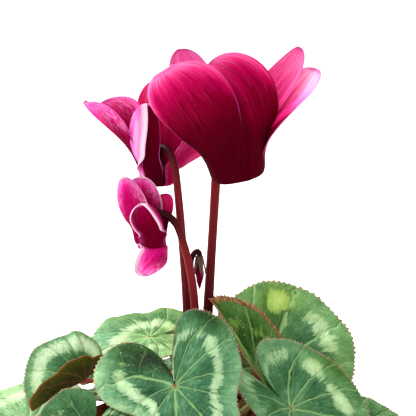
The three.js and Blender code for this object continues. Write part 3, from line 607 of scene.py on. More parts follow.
def petal_material():
    g = Graph("petal")
    along, across, seed, tone, edge, violet = g.values("along", "across", "seed", "tone", "edge", "warm")
    blade = across, along, seed
    wide = g.flow(blade, (4, 0.9, 31), 2.0, 4, 0.65) - 0.5
    fine = g.flow(blade, (11, 1.3, 17), 2.0, 5, 0.75) - 0.5
    cloud = g.flow(blade, (1.2, 2, 5), 2.0, 2) - 0.5
    ribs = g.flow(blade, (24, 0.8, 41), 2.0, 2) - 0.5
    depth = (tone + wide * 0.2 + (fine * (violet * 0.22 + 0.3) + ribs * 0.24) * along.step(0.1, 0.5)
             + cloud * 0.16)
    rose = g.ramp(depth, (
        (0.0, (58, 0, 12)), (0.2, (86, 0, 20)), (0.4, (122, 0, 36)), (0.56, (184, 6, 80)),
        (0.7, (232, 48, 130)), (0.84, (252, 128, 188)), (1.0, (255, 232, 246))))
    purple = g.ramp(depth, (
        (0.0, (58, 0, 16)), (0.2, (86, 0, 24)), (0.4, (130, 0, 46)), (0.56, (198, 4, 104)),
        (0.7, (238, 30, 150)), (0.84, (250, 104, 206)), (1.0, (255, 236, 252))))
    colour = g.mix(violet, rose, purple)

    # Light threads along the petal, flecks towards its edge, and its light rim
    threads = g.flow(blade, (15, 1.3, 23), 2.0, 6, 0.8).step(0.54, 0.64)
    thread_colour = g.mix(tone.step(0.5, 0.8), (220, 60, 124), (255, 196, 246))
    colour = g.mix(threads * tone.step(0.16, 0.62) * (1 - violet * 0.4) * 0.45, colour, thread_colour)
    flecks = g.flow(blade, (15, 5, 27), 2.0, 4, 0.8).step(0.49, 0.6)
    outer = (abs(across) * 0.8 + along * 0.55).step(0.45, 1.15)
    colour = g.mix(flecks * outer * violet * tone.step(0.38, 0.6) * 0.8, colour, (250, 200, 246))
    colour = g.mix((edge + fine * 0.3).step(0.1, 0.55) * 0.75, colour, (226, 84, 176))
    colour = g.mix((edge + fine * 0.5).step(0.45, 0.95) * 0.9, colour, (250, 220, 234))

    relief = fine * 1.2 + wide + ribs * 1.5 + g.noise(g.place(), 1800, 2) * 0.1
    return g.finish(colour, g.noise(g.place(), 400, 2) * 0.2 + 0.5, g.bump(relief, 0.0002),
                    through=g.mix(0.25, colour, (240, 0, 110)), share=0.3, specular=0.005)


def stalk_material(name, low, middle, high, flecks):
    """A stalk's colour from foot to end, with fine streaks along it and small darker flecks."""
    g = Graph(name)
    along, across, seed = g.values("along", "across", "seed")
    streak = g.flow((across, along, seed), (2.2, 5, 9), 2.0, 4, 0.7) - 0.5
    stops = ((0.0, low), (0.42, low), (0.7, middle), (0.78, middle), (0.92, high))
    colour = g.mix(streak.step(0.02, 0.3) * 0.4, g.ramp(along + streak * 0.3, stops), flecks)
    colour = g.mix(g.noise(g.place(), 1500, 2).step(0.6, 0.72) * 0.35, colour, (60, 20, 24))
    relief = streak * 0.8 + g.noise(g.place(), 2600, 2) * 0.5
    return g.finish(colour, 0.45, g.bump(relief, 0.00012), specular=0.05)


def calyx_material():
    g = Graph("calyx")
    along, across = g.values("along", "across")
    line = abs((across * 2.4).fraction() - 0.5).step(0.3, 0.5)
    colour = g.ramp(along + (g.noise(g.place(), 500, 3) - 0.5) * 0.5, (
        (0.0, (56, 22, 26)), (0.45, (78, 42, 34)), (0.8, (88, 66, 42)), (1.0, (96, 46, 42))))
    colour = g.mix(line * 0.5, colour, (60, 24, 30))
    relief = g.noise(g.place(), 1600, 3) + line * 0.5
    return g.finish(colour, 0.5, g.bump(relief, 0.00015), specular=0.25)


def anther_material():
    g = Graph("anther")
    colour = g.mix(g.noise(g.place(), 900, 3), (214, 168, 52), (150, 84, 46))
    return g.finish(colour, 0.7, g.bump(g.noise(g.place(), 2400, 2), 0.0001))


def clay_material():
    g = Graph("clay")
    at = g.place()
    height, = g.values("along")
    sand = g.noise(at, 900, 3, 0.7)
    colour = g.ramp(g.noise(at, 22, 4, 0.6) * 0.7 + sand * 0.3, (
        (0.3, (124, 60, 38)), (0.5, (150, 80, 52)), (0.72, (174, 106, 74))))
    lime = g.noise(at, 45, 5, 0.7).step(0.55, 0.75) * (1 - height.step(0.0, 0.55)) * 0.45
    colour = g.mix(lime, colour, (196, 164, 140))
    colour = g.mix(g.cells(at, 420).step(0.16, 0.05) * 0.5, colour, (96, 48, 32))
    rings = g.noise(g.vector(0.0, 0.0, height * 60), 1.0, 3)
    relief = sand * 0.7 + rings * 1.5 + g.noise(at, 260, 3) * 0.8
    return g.finish(colour, sand * 0.12 + 0.8, g.bump(relief, 0.00035), specular=0.25)


def soil_material():
    g = Graph("compost")
    at = g.place()
    white, = g.values("tone")
    crumbs = g.noise(at, 380, 5, 0.7)
    colour = g.ramp(crumbs, ((0.3, (30, 20, 14)), (0.5, (58, 40, 28)), (0.7, (96, 70, 46))))
    colour = g.mix(white, colour, g.mix(crumbs, (206, 200, 190), (240, 238, 232)))
    return g.finish(colour, 0.92, g.bump(crumbs + g.cells(at, 700) * 0.6, 0.0009), specular=0.2)


def tuber_material():
    g = Graph("tuber")
    at = g.place()
    bark = g.noise(at, 160, 5, 0.7)
    crack = g.cells(at, 190, "DISTANCE_TO_EDGE").step(0.0, 0.1)
    colour = g.ramp(bark, ((0.3, (74, 48, 34)), (0.5, (112, 78, 54)), (0.72, (150, 114, 82))))
    colour = g.mix((1 - crack) * 0.6, colour, (46, 28, 20))
    return g.finish(colour, 0.88, g.bump(bark + crack * 0.7, 0.0009), specular=0.2)


LEAF_UPPER, LEAF_LOWER, PETALS = leaf_upper_material(), leaf_lower_material(), petal_material()
CALYX_LOOK, ANTHER = calyx_material(), anther_material()
BLOOM_STALK = stalk_material("bloom_stalk", (62, 8, 10), (108, 20, 26), (36, 4, 10), (140, 52, 50))
LEAF_STALK = stalk_material("leaf_stalk", (120, 70, 58), (132, 138, 74), (146, 66, 54), (160, 168, 96))


# Pot, soil and tuber

def pot_outside(z):
    slope = (POT["rim"] - POT["proud"] - POT["foot"]) / POT["height"]
    return POT["foot"] + slope * z


def rounded(corners, radius, steps=5):
    """A profile's corners, each one rounded off."""
    corners = [np.asarray(c, float) for c in corners]
    points = [corners[0]]
    for before, corner, after in zip(corners, corners[1:], corners[2:]):
        cut = min(radius, 0.45 * np.linalg.norm(before - corner), 0.45 * np.linalg.norm(after - corner))
        a, b = corner + unit(before - corner) * cut, corner + unit(after - corner) * cut
        for t in np.linspace(0, 1, steps):
            points.append((1 - t) ** 2 * a + 2 * t * (1 - t) * corner + t * t * b)
    return np.array(points + [corners[-1]])


def densify(profile, longest):
    """More points on a profile's long stretches."""
    points = [profile[0]]
    for a, b in zip(profile, profile[1:]):
        count = max(1, int(np.ceil(np.linalg.norm(b - a) / longest)))
        points += [a + (b - a) * (i + 1) / count for i in range(count)]
    return np.array(points)


def make_pot():
    height, floor, core = POT["height"], POT["floor"], POT["core"]
    band_foot = height - POT["band"]
    profile = rounded([
        (core, 0), (POT["foot"], 0), (pot_outside(band_foot), band_foot),
        (pot_outside(band_foot) + POT["proud"], band_foot + 0.8), (POT["rim"], height),
        (POT["rim"] - POT["proud"] - POT["wall"], height), (pot_outside(floor) - POT["wall"], floor),
        (core, floor)], POT["lip"])
    profile = densify(profile, POT["row"])

    # Faint rings that the wheel leaves on the wall, but not on the foot
    a, (radius, z) = circle(POT["sides"]), profile.T[..., None]
    marks = POT["mark"] * (np.sin(1.9 * z + 0.7 * np.sin(a)) - 1)
    radius = radius + np.where((radius > POT["marks_from"]) & (z > 2), marks, 0)
    points = np.vstack([round_points(radius, a, z), (0, 0, 0), (0, 0, floor)])
    form = Form("pot_clay", clay_material())
    form.add(points, round_faces(len(profile), POT["sides"]), along=points[:, 2] / height)
    pot = form.make("pot")
    for i in range(POT["holes"]):
        drill_hole(pot, around(360 * (i + 0.5) / POT["holes"], POT["hole_ring"]) * MM)


def drill_hole(piece, spot):
    bpy.ops.mesh.primitive_cylinder_add(vertices=POT["hole_sides"], radius=POT["hole"] * MM,
                                        depth=POT["drill"] * MM, location=spot)
    drill = bpy.context.object
    cut = piece.modifiers.new("hole", "BOOLEAN")
    cut.operation, cut.solver, cut.object = "DIFFERENCE", "EXACT", drill
    shown = bpy.context.evaluated_depsgraph_get()
    mesh = bpy.data.meshes.new_from_object(piece.evaluated_get(shown))
    piece.modifiers.clear()
    old, piece.data = piece.data, mesh
    bpy.data.meshes.remove(old)
    bpy.data.objects.remove(drill)


def crumb(draw, size):
    """One crumb: a lumpy octahedron, split once."""
    corners = np.array([(1, 0, 0), (-1, 0, 0), (0, 1, 0), (0, -1, 0), (0, 0, 1), (0, 0, -1)], float)
    faces = np.array([(0, 2, 4), (2, 1, 4), (1, 3, 4), (3, 0, 4), (2, 0, 5), (1, 2, 5), (3, 1, 5), (0, 3, 5)])
    points, split, halves = list(corners), [], {}

    def half(a, b):
        key = (min(a, b), max(a, b))
        if key not in halves:
            halves[key] = len(points)
            points.append(unit(points[a] + points[b]))
        return halves[key]

    for a, b, c in faces:
        ab, bc, ca = half(a, b), half(b, c), half(c, a)
        split += [(a, ab, ca), (b, bc, ab), (c, ca, bc), (ab, bc, ca)]
    points = np.array(points)
    points = points * draw.uniform(0.7, 1.25, (len(points), 1)) * size * draw.uniform(0.55, 1.2, 3)
    return points, np.array(split)


def soil_height(x, y, edge):
    lump = np.sin(0.41 * x + 1.3) * np.cos(0.37 * y) + 0.6 * np.sin(0.9 * x - 0.7 * y)
    share = np.hypot(x, y) / edge
    return SOIL["level"] + SOIL["mound"] * (1 - share ** 2) + SOIL["bump"] * lump


def make_soil():
    edge = pot_outside(SOIL["level"]) - POT["wall"] - SOIL["gap"]
    rings, sides, foot = SOIL["rings"], SOIL["sides"], SOIL["level"] - SOIL["skirt"]
    top = round_points(edge * np.linspace(0.02, 1, rings)[:, None], circle(sides), 0.0)
    top[:, 2] = soil_height(top[:, 0], top[:, 1], edge)
    top[:, 2] += 0.9 * uneven(top, 0.35, 3) + 0.5 * uneven(top, 0.9, 5)
    skirt = top[-sides:] * (1, 1, 0) + (0, 0, foot)
    points = np.vstack([top, skirt, (0, 0, SOIL["level"] + SOIL["mound"]), (0, 0, foot)])
    form = Form("compost", soil_material())
    form.add(points, round_faces(rings + 1, sides, turn=False))
    draw = np.random.default_rng(SEED)
    for i in range(CRUMBS["count"]):
        radius, azimuth = edge * math.sqrt(draw.uniform(0.1, 0.92)), draw.uniform(0, 360)
        white = i % CRUMBS["white_every"] == 0
        size = draw.uniform(*CRUMBS["size"]) * (CRUMBS["white_size"] if white else 1)
        lump, faces = crumb(draw, size)
        spot = around(azimuth, radius)
        spot[2] = soil_height(spot[0], spot[1], edge) + CRUMBS["raised"] * size
        form.add(lump + spot, [faces], tone=float(white))
    form.make("soil")


def make_tuber():
    rows, sides = TUBER["rows"], TUBER["sides"]
    up = np.linspace(-np.pi / 2, np.pi / 2, rows + 2)[1:-1, None]
    way = np.vstack([round_points(np.cos(up), circle(sides), np.sin(up)), (0, 0, -1), (0, 0, 1)])
    size = np.array((TUBER["radius"], TUBER["radius"], TUBER["half_height"]))
    knobs = 0.6 * uneven(way * 20, 0.16, 2) + 0.45 * uneven(way * 20, 0.5, 9)
    form = Form("tuber_cork", tuber_material())
    form.add(way * size * (0.985 + 0.02 * knobs[:, None]) + (0, 0, TUBER["centre"]), round_faces(rows, sides))
    form.make("tuber")


def foot_at(azimuth, radius, lean):
    """Where a stalk leaves the tuber's crown, and which way."""
    up = around(azimuth, math.sin(math.radians(lean)), math.cos(math.radians(lean)))
    top = TUBER["centre"] + TUBER["half_height"] * math.sqrt(1 - (radius / TUBER["radius"]) ** 2)
    return around(azimuth, radius, top - 0.6) - up * STALK["socket"], up


# Leaves

def reach(leaf, a):
    """How far the margin is from the joint, a radians off the midrib, as a share of the way to the tip."""
    back = np.pi - np.abs(a)
    body = 0.83 + 0.11 * np.cos(2 * a) + 0.045 * np.cos(a) + 0.04 * hump(a, 0.28)
    for at, amount, wide in leaf["bulges"]:
        body = body * (1 + amount * hump(a - at, wide))
    return body / 1.025 * (1 - np.exp(-((back / leaf["notch"]) ** 1.5)))


def leaf_frame(leaf):
    """The leaf's own axes: towards its tip, to its left and up."""
    heading, pitch, roll = (math.radians(leaf[key]) for key in ("heading", "pitch", "roll"))
    x = np.array([math.cos(pitch) * math.cos(heading), math.cos(pitch) * math.sin(heading), math.sin(pitch)])
    level = np.array([-math.sin(heading), math.cos(heading), 0])
    y = level * math.cos(roll) + np.cross(x, level) * math.sin(roll)
    return x, y, np.cross(x, y)


def vein_gap(a, share, length):
    """The distance to the nearest main vein, in millimetres."""
    lines = [math.radians(v) * (1 - VEIN_SWEEP * share ** 1.5) for v in VEINS]
    return np.min([np.abs(np.abs(a) - line) for line in lines], axis=0) * share * length


def bend_blade(leaf, a, share, stretch, lift):
    """Bends points of the flat blade into its folded, arched and waved form."""
    distance = leaf["length"] * reach(leaf, a) * share * stretch
    direction = a + leaf["skew"] * (1 - (a / np.pi) ** 2)
    left = direction >= 0
    x = distance * np.cos(direction) * np.where(np.cos(direction) < 0, leaf["lobes"], 1)
    y = distance * np.sin(direction) * np.where(left, *leaf["broad"])
    fold = np.radians(np.where(left, *leaf["fold"]))
    side = np.where(left, *leaf["curve"])
    along = np.where(x >= 0, *leaf["arch"])
    turned = fold + side * np.abs(y)
    lateral = (np.sin(turned) - np.sin(fold)) / side
    wave = leaf["wave"] * share ** 2 * np.sin(leaf["waves"] * a + leaf["phase"])
    rise = (np.cos(fold) - np.cos(turned)) / side + wave + lift
    tilt = along * x
    fx, fy, fz = (v[None, None] for v in leaf_frame(leaf))
    return (np.array(leaf["joint"]) + fx * (np.sin(tilt) / along - rise * np.sin(tilt))[..., None]
            + fy * np.where(left, lateral, -lateral)[..., None]
            + fz * ((1 - np.cos(tilt)) / along + rise * np.cos(tilt))[..., None])


def spotted(value, spots, a, share):
    """A value over a blade, with soft spots added to it."""
    for at, out, wide, tall, amount in spots:
        value = value + amount * hump(a - at, wide) * hump(share - out, tall)
    return value * np.ones(share.shape)


def leaf_marks(leaf, a, share, seed):
    """The tone, with its painted light and shade, the warmth and the light marking over a blade."""
    ring, width, strength = leaf["light"]
    ring = ring + 0.035 * ripple(a * 1.8, 0, seed + 70)
    for at, wide, outwards in leaf["drifts"]:
        ring = ring + outwards * hump(a - at, wide)
    width = width * (1 + 0.3 * ripple(a * 1.4, 0, seed + 80))
    strength = strength * (0.78 + 0.34 * ripple(a * 2.2, share * 1.5, seed + 90))
    pale = spotted(strength * hump(share - ring, width), leaf["patches"], a, share)
    # The leaf's own tone, with painted shade and painted light added in spots
    tone = spotted(leaf["tone"], leaf["tone_and_painted_light"], a, share)
    warm = spotted(leaf["warm"], leaf["tints"], a, share)
    return tone, np.clip(warm, 0, 1), pale


def add_blade(form, leaf, seed):
    """The blade: a tooth to every two columns, raised quilts between the veins, and a frill at the margin."""
    draw = np.random.default_rng(SEED + seed)
    teeth, columns, rings = LEAF["teeth"], 2 * LEAF["teeth"] + 1, LEAF["rings"]
    s = np.linspace(-1, 1, columns)
    a = ((np.pi - LEAF["slit"]) * (1.2 * s - 0.2 * s ** 3))[None, :]
    share = np.r_[np.linspace(0.03, 0.9, rings - 3), 0.94, 0.97, 1.0][:, None]
    saw = np.r_[np.tile((0.0, 1.0), teeth) * np.repeat(draw.uniform(0.6, 1.3, teeth), 2), 0.0]
    outer = smooth((share - 0.9) / 0.1)
    stretch = 1 + LEAF["tooth"] * (saw - 0.5) * outer + 0.012 * ripple(a * 3, share, seed) * outer
    a, share = np.broadcast_to(a, stretch.shape), np.broadcast_to(share, stretch.shape)
    gap = vein_gap(a, share, leaf["length"])
    quilt = 0.75 * (1 - hump(gap, 1.8)) * smooth(share * 3) * (1 - 0.5 * share)
    frill = 0.35 * share ** 4 * np.sin(11 * a + seed)
    lift = quilt - 0.25 + frill + 0.3 * share * ripple(a * 2.2, share * 4, seed + 50)
    points = bend_blade(leaf, a, share, stretch, lift).reshape(-1, 3)
    tone, warm, pale = leaf_marks(leaf, a, share, seed)
    saw = np.broadcast_to(saw + leaf["blush"], share.shape)
    thick = LEAF["thick"] * (1 - 0.45 * share ** 2) + 0.5 * hump(gap, 0.6) * (1 - share)

    # Each value over the blade, and what it is at the joint, which is the last point
    values = {"along": (share, 0), "across": (a, 0), "tone": (tone, leaf["tone"]), "pale": (pale, 0),
              "edge": (saw, leaf["blush"]), "warm": (warm, leaf["warm"]), "thick": (thick, LEAF["thick"])}
    values = {key: np.r_[blade.ravel(), joint] for key, (blade, joint) in values.items()}
    faces = [grid(rings, columns), fan(rings * columns, np.arange(columns))]
    form.add_sheet(np.vstack([points, leaf["joint"]]), faces, values.pop("thick"), slots=(0, 1, 1),
                   seed=seed * NOISE_SHIFT["leaf"] % 1, **values)


def add_leaf_stalk(form, leaf, seed):
    joint = np.array(leaf["joint"])
    azimuth = leaf.get("root", math.degrees(math.atan2(joint[1], joint[0])))
    foot, up = foot_at(azimuth, leaf["ring"], leaf["lean"])
    fx, _, fz = leaf_frame(leaf)
    rise = np.linalg.norm(joint - foot)
    end = joint + fx * 1.6 - fz * 0.5
    arrive = unit(fx * leaf["arrive"][0] + fz * leaf["arrive"][1])
    way = run_of([(foot, foot + up * 0.45 * rise, end - arrive * 0.4 * rise, end)], LEAF["stalk_rows"])
    t = np.linspace(0, 1, len(way))
    ends = (1 + 0.25 * smooth(1 - t * 12)) * (1 - 0.35 * smooth((t - 0.93) / 0.07))
    add_sweep(form, way, blend_to(*LEAF["stalk"], t) * ends, LEAF["stalk_sides"], slot=2,
              seed=seed * NOISE_SHIFT["leaf"] % 1)


def make_leaf(name, leaf, seed):
    form = Form(f"{name}_blade", LEAF_UPPER, LEAF_LOWER, LEAF_STALK)
    add_blade(form, leaf, seed)
    add_leaf_stalk(form, leaf, seed)
    form.make(name)


def skirt_leaves():
    leaves = {}
    for i, (azimuth, radius, height, pitch, roll, length) in enumerate(SKIRT_LEAVES):
        leaves[f"leaf_skirt_{i + 1:02d}"] = dict(
            joint=tuple(around(azimuth, radius, height)), heading=azimuth, pitch=pitch, roll=roll,
            length=length, fold=(7, 7), arch=(-0.02, -0.004), ring=14.5, lean=24, phase=1.7 * i,
            tone=(0.42, 0.6, 0.5)[i % 3], warm=(0.1, 0.6, 0.3)[i % 3])
    return leaves


# Blooms

def bloom_turn(bloom):
    """The bloom's own axes as columns, its z from the mouth up to the calyx."""
    turn = Vector((0, 0, 1)).rotation_difference(Vector(bloom["axis"]).normalized())
    return np.array(turn.to_matrix())


def in_place(bloom, points):
    """Points given from the bloom's mouth, by its own axes, where they are on the plant."""
    return np.asarray(points) @ bloom_turn(bloom).T + np.array(bloom["mouth"])


def petal_line(petal, size):
    """A petal's midline from inside the tube, round the fold at the mouth, and back up to its tip.

    Gives its points, its direction, and the share of the way up the blade, with shares under 0 in the fold.
    """
    out = around(petal["base"])

    def at(radius, z):
        return out * (radius + petal["proud"]) * size + (0, 0, z * size)

    free, tip = at(*petal["free"]), petal["tip"]
    rise = tip - free
    length = np.linalg.norm(rise)
    leave = unit(out * 0.12 + (0, 0, 1))
    arrive = unit(unit(rise) + petal["nod"])
    fold = (at(5, PETAL["fold_foot"]), at(5.2, -2.4), at(petal["free"][0] - 0.6, -2.2), free)
    blade = (free, free + leave * petal["leave"] * length, tip - arrive * 0.34 * length, tip)
    fold_t = np.linspace(0, 1, PETAL["fold_rows"], endpoint=False)
    blade_t = 0.9985 * (1 - (1 - np.linspace(0, 1, PETAL["rows"])) ** 1.7)
    centre = np.vstack([bezier(fold, fold_t), bezier(blade, blade_t)])
    along = np.vstack([bezier_tangent(fold, fold_t), bezier_tangent(blade, blade_t)])
    return centre, along, np.r_[-0.12 + 0.12 * fold_t, blade_t]


def petal_half_widths(petal, size, at, v, bent):
    """Half the width at each point, wider on one side than on the other where the petal isn't even."""
    root, widest = PETAL["root"] * size * petal["root"], petal["widest"]
    half = blend_to(root, petal["width"] / 2, smooth((at + 0.12) / (widest + 0.12)))
    past = np.clip((at - widest) / (1 - widest), 0, 1)
    uneven_sides = blend_to(1, np.where(v > 0, *petal["halves"]), bent)
    return (half * np.sqrt(1 - past ** petal["point"]))[:, None] * uneven_sides


def petal_sheet(petal, size, seed):
    """A petal's points, row by row, its shares along and across, and its half widths."""
    centre, along, at = petal_line(petal, size)
    u, v = np.maximum(at, 0), np.linspace(-1, 1, PETAL["columns"])
    bent = smooth(u / 0.35)[:, None]
    facing = petal["base"] + petal["twist"] * smooth(u * 1.15) + 90
    across = np.stack([np.cos(np.radians(facing)), np.sin(np.radians(facing)), np.zeros_like(facing)], -1)
    across = unit(across - along * np.sum(across * along, 1, keepdims=True))
    normal = np.cross(across, along)
    half = petal_half_widths(petal, size, at, v, bent)

    # The cross-section turns by an angle from the midline outwards, and is summed up step by step
    s = (np.arange(PETAL["bend_steps"]) + 0.5) / PETAL["bend_steps"] * np.abs(v)[:, None]
    roll = np.radians(np.where(v > 0, *petal["roll"]))[:, None]
    flap_from, flap_turn = petal["flap"]
    flap = np.where(v < 0, math.radians(flap_turn), 0)[:, None] * smooth((s - flap_from) / 0.16)
    angle = bent[..., None] * (math.radians(petal["bow"]) * s + roll * s ** 3 - flap)[None]
    sideways, inwards = (f(angle).mean(-1) * np.abs(v) for f in (np.cos, np.sin))

    round_off = (1 - bent) * (half * v) ** 2 / (15 * size)
    flutter = 0.5 * size * ripple(u[:, None] * 7, v * 2.2, seed) * smooth(u * 2)[:, None] * np.abs(v) ** 1.5
    groove = -0.22 * size * hump(v, 0.1) * bent
    points = (centre[:, None] + across[:, None] * (np.sign(v) * half * sideways)[..., None]
              + normal[:, None] * (flutter + groove - half * inwards)[..., None]
              - around(petal["base"]) * round_off[..., None])
    return points, u[:, None], v, half


def petal_marks(petal, u, v, half, size):
    """How pale each point of a petal is, and how far it lies in the light rim."""
    grow = smooth((u - 0.1) / 0.85)
    tone = blend_to(petal["base_tone"], petal["tip_tone"], grow) + petal["tilt"] * v * smooth(u * 3)
    inset = (1 - np.abs(v)) * np.maximum(half, 0.1)
    to_tip = (1 - u) * PETAL["length"] * size
    # Paler towards the edge and the tip: partly the petal's own pale edge and partly painted sheen
    amount, sheen_and_pale_edge = petal["sheen_and_pale_edge"]
    inner = (1 - hump(inset, sheen_and_pale_edge)) * (1 - hump(to_tip, sheen_and_pale_edge))
    tone = tone + amount * (1 - inner) * smooth((u - 0.35) / 0.45)
    folded = (-v - petal["flap"][0]) / 0.5
    tone = np.where(folded > 0, 0.7 + 0.4 * folded, tone)
    right, left, end = petal["rims"]
    width = np.where(v > 0, right, left)
    rim = hump(inset, width) * np.minimum(2 * width, 1) * (0.32 + 0.68 * smooth((u - petal["rim_from"]) * 4))
    rim = np.maximum(rim, hump(to_tip, end))
    return np.clip(tone, 0, 1), np.clip(rim, 0, 1) * petal["white"]


def add_petal(form, bloom, petal, seed):
    turn, size = bloom_turn(bloom), bloom["size"]
    for key in ("tip", "nod"):
        petal[key] = np.array(petal[key], float) @ turn
    points, u, v, half = petal_sheet(petal, size, seed)
    tone, rim = petal_marks(petal, u, v, half, size)
    rows, columns = tone.shape
    thick = PETAL["thick"] * (1 - 0.45 * np.abs(v)) * (1 - 0.3 * u)
    form.add_sheet(
        in_place(bloom, points.reshape(-1, 3)), [grid(rows, columns)], thick.ravel(),
        along=np.repeat(u, columns), across=np.tile(v, rows), seed=seed * NOISE_SHIFT["petal"] % 1,
        tone=tone.ravel(), edge=rim.ravel(), warm=petal["violet"])


def add_tube(form, bloom):
    """The tube, five-sided like the petals that join in it."""
    size, radius, neck, height = bloom["size"], TUBE["radius"], TUBE["neck"], TUBE["height"]
    outline = rounded(np.array([
        (4.9, 5), (4.9, 0.8), (radius, 0.6), (radius, 4), (4.7, 7.2), (neck, height), (0.3, height)]) * size,
        TUBE["corner"] * size)
    a, (r, z) = circle(TUBE["sides"]), outline.T[..., None]
    lobed = 1 + 0.03 * np.cos(5 * (a - math.radians(18)))
    form.add(in_place(bloom, round_points(r * lobed, a, z)), [grid(len(r), len(a), closed=True, turn=True)],
             across=np.tile(a, len(r)), seed=0.4, tone=0.08)


def add_anthers(form, bloom):
    """Five anthers in a cone round the style, which just shows in the mouth."""
    size = bloom["size"]
    for i in range(ANTHERS["count"]):
        azimuth = 360 / ANTHERS["count"] * i
        top, middle, end = (around(azimuth, r * size, z * size) for r, z in ((2.4, 6), (1.1, 2), (0.35, 0.4)))
        way = run_of([(top, middle, middle, end)], ANTHERS["rows"])
        add_sweep(form, in_place(bloom, way), np.linspace(*ANTHERS["radius"], len(way)) * size,
                  ANTHERS["sides"], slot=1)
    style = run_of([[(0, 0, z * size) for z in (6, 3, 1, -0.7)]], STYLE["rows"])
    add_sweep(form, in_place(bloom, style), np.linspace(*STYLE["radius"], len(style)) * size, STYLE["sides"],
              slot=1)


def make_corolla(name, bloom, seed):
    form = Form(f"{name}_corolla", PETALS, ANTHER)
    for i, petal in enumerate(bloom["petals"]):
        add_petal(form, bloom, {**PETAL_DEFAULTS, **petal}, seed + i)
    add_tube(form, bloom)
    add_anthers(form, bloom)
    form.make(f"{name}_petals")


def add_calyx(form, flower, top, ring, tip):
    """Five pointed sepals that spread from the stalk's end over the tube or the bud."""
    rows, sides, half_gap = CALYX["rows"], CALYX["sides"], 180 / CALYX["sepals"]
    phi = circle(sides)
    off = np.abs((np.degrees(phi) + half_gap) % (2 * half_gap) - half_gap) / half_gap
    grow = np.clip(1 - off ** 1.25, 0, 1)
    s = np.linspace(0.06, 1, rows)[:, None]
    near, far = np.minimum(s * 2.2, 1), (s - 0.35) / 0.65
    r = ring[0] * near + (tip[0] - ring[0]) * grow * smooth(far)
    z = top + (ring[1] - top) * near + (tip[1] - ring[1]) * grow * np.clip(far, 0, 1)
    keel = CALYX["keel"] * np.cos(CALYX["sepals"] * phi) * s
    points = np.vstack([round_points(r, phi, z + keel), (0, 0, top)])
    faces = [grid(rows, sides, closed=True), fan(rows * sides, np.r_[np.arange(sides), 0])]
    form.add_sheet(in_place(flower, points), faces, CALYX["thick"], slots=(1, 1, 1),
                   along=np.r_[np.repeat(s, sides), 0], across=np.r_[np.tile(phi, rows), 0])


def add_hairs(form, way, radii, seed):
    """Short glandular hairs that stand out all round a stalk."""
    draw = np.random.default_rng(SEED + 100 + seed)
    along = unit(np.gradient(way, axis=0))
    points, faces = [], []
    for _ in range(HAIRS["count"]):
        k = int(draw.integers(12, len(way) - 6))
        out = unit(np.cross(along[k], draw.normal(0, 1, 3)))
        side = np.cross(along[k], out) * HAIRS["half_width"]
        root = way[k] + out * radii[k] * 0.96
        slant = draw.uniform(-HAIRS["slant"], HAIRS["slant"])
        tip = root + (out + along[k] * slant) * draw.uniform(*HAIRS["length"])
        base = len(points)
        points += [root + side, root - side, root + along[k] * 0.05, tip]
        faces += [(base, base + 2, base + 3), (base + 2, base + 1, base + 3), (base + 1, base, base + 3)]
    form.add(np.array(points), [np.array(faces)], along=0.5)


def make_stalk(name, flower, calyx, seed):
    """A stalk from the tuber up over its hook, with its calyx and its hairs."""
    top, ring, tip = calyx
    foot, up = foot_at(*flower["root"], flower["lean"])
    shoulder, heading = np.array(flower["shoulder"], float), unit(flower["heading"])
    climb = np.linalg.norm(shoulder - foot)
    before, after = flower["loop"]
    rise = (foot, foot + up * 0.35 * climb, shoulder - heading * 0.35 * climb, shoulder)
    hook = (shoulder, shoulder + heading * before, in_place(flower, (0, 0, top + after)),
            in_place(flower, (0, 0, top - 0.2)))
    way = run_of([rise, hook], STALK["rows"])
    t = np.linspace(0, 1, len(way))
    thick = blend_to(*(np.array(STALK["radius"]) * flower["thin"]), t)
    thick = thick * (1 + 0.12 * smooth(1 - t * 20)) * (1 + 0.04 * np.sin(17 * t + seed))
    form = Form(f"{name}_stem", BLOOM_STALK, CALYX_LOOK)
    add_sweep(form, way, thick, STALK["sides"], seed=seed * NOISE_SHIFT["stalk"] % 1)
    add_calyx(form, flower, top, ring, tip)
    add_hairs(form, way, thick, seed)
    form.make(f"{name}_stalk")


def tube_calyx(size):
    """A calyx's top, and its radius and height at its ring and at the sepals' tips, over a tube."""
    top = TUBE["height"] * size + CALYX["clear"]
    return top, (TUBE["neck"] * size + 1.3, top - 0.35), (TUBE["radius"] * size + 1.2, 5 * size)


def bud_radius(bud, t):
    return bud["width"] / 2 * np.sin(np.pi * t ** 0.8) ** 0.8


def bud_calyx(bud):
    """The same as tube_calyx, over a bud."""
    over = bud_radius(bud, bud["wrapped"]) * (1 + BUD["depth"]) + CALYX["clear"] - 0.35
    return CALYX["clear"], (1.25, CALYX["clear"] - 0.3), (over, -bud["wrapped"] * bud["length"])


def make_bud(name, bud, seed):
    rows, sides = BUD["rows"], BUD["sides"]
    t, a = np.linspace(0.01, 0.995, rows)[:, None], circle(sides)
    radius = bud_radius(bud, t) * (1 + BUD["depth"] * np.cos(BUD["ridges"] * a) ** 3)
    points = round_points(radius, a + 2 * np.pi * BUD["turns"] * t, -bud["length"] * t)
    points = np.vstack([points, (0, 0, 0), (0, 0, -bud["length"])])
    tone = BUD["tone"] + 0.2 * np.clip(-np.cos(BUD["ridges"] * a), 0, 1) * (1 - t)
    form = Form(f"{name}_wound", PETALS)
    form.add(in_place(bud, points), round_faces(rows, sides, turn=False),
             along=np.r_[np.repeat(t, sides), 0, 1], across=np.r_[np.tile(np.sin(a), rows), 0, 0],
             seed=seed * NOISE_SHIFT["bud"] % 1, tone=np.r_[tone.ravel(), BUD["tone"], BUD["tone"]], warm=1.0)
    form.make(f"{name}_petals")


# Floor, lamps, sky and camera

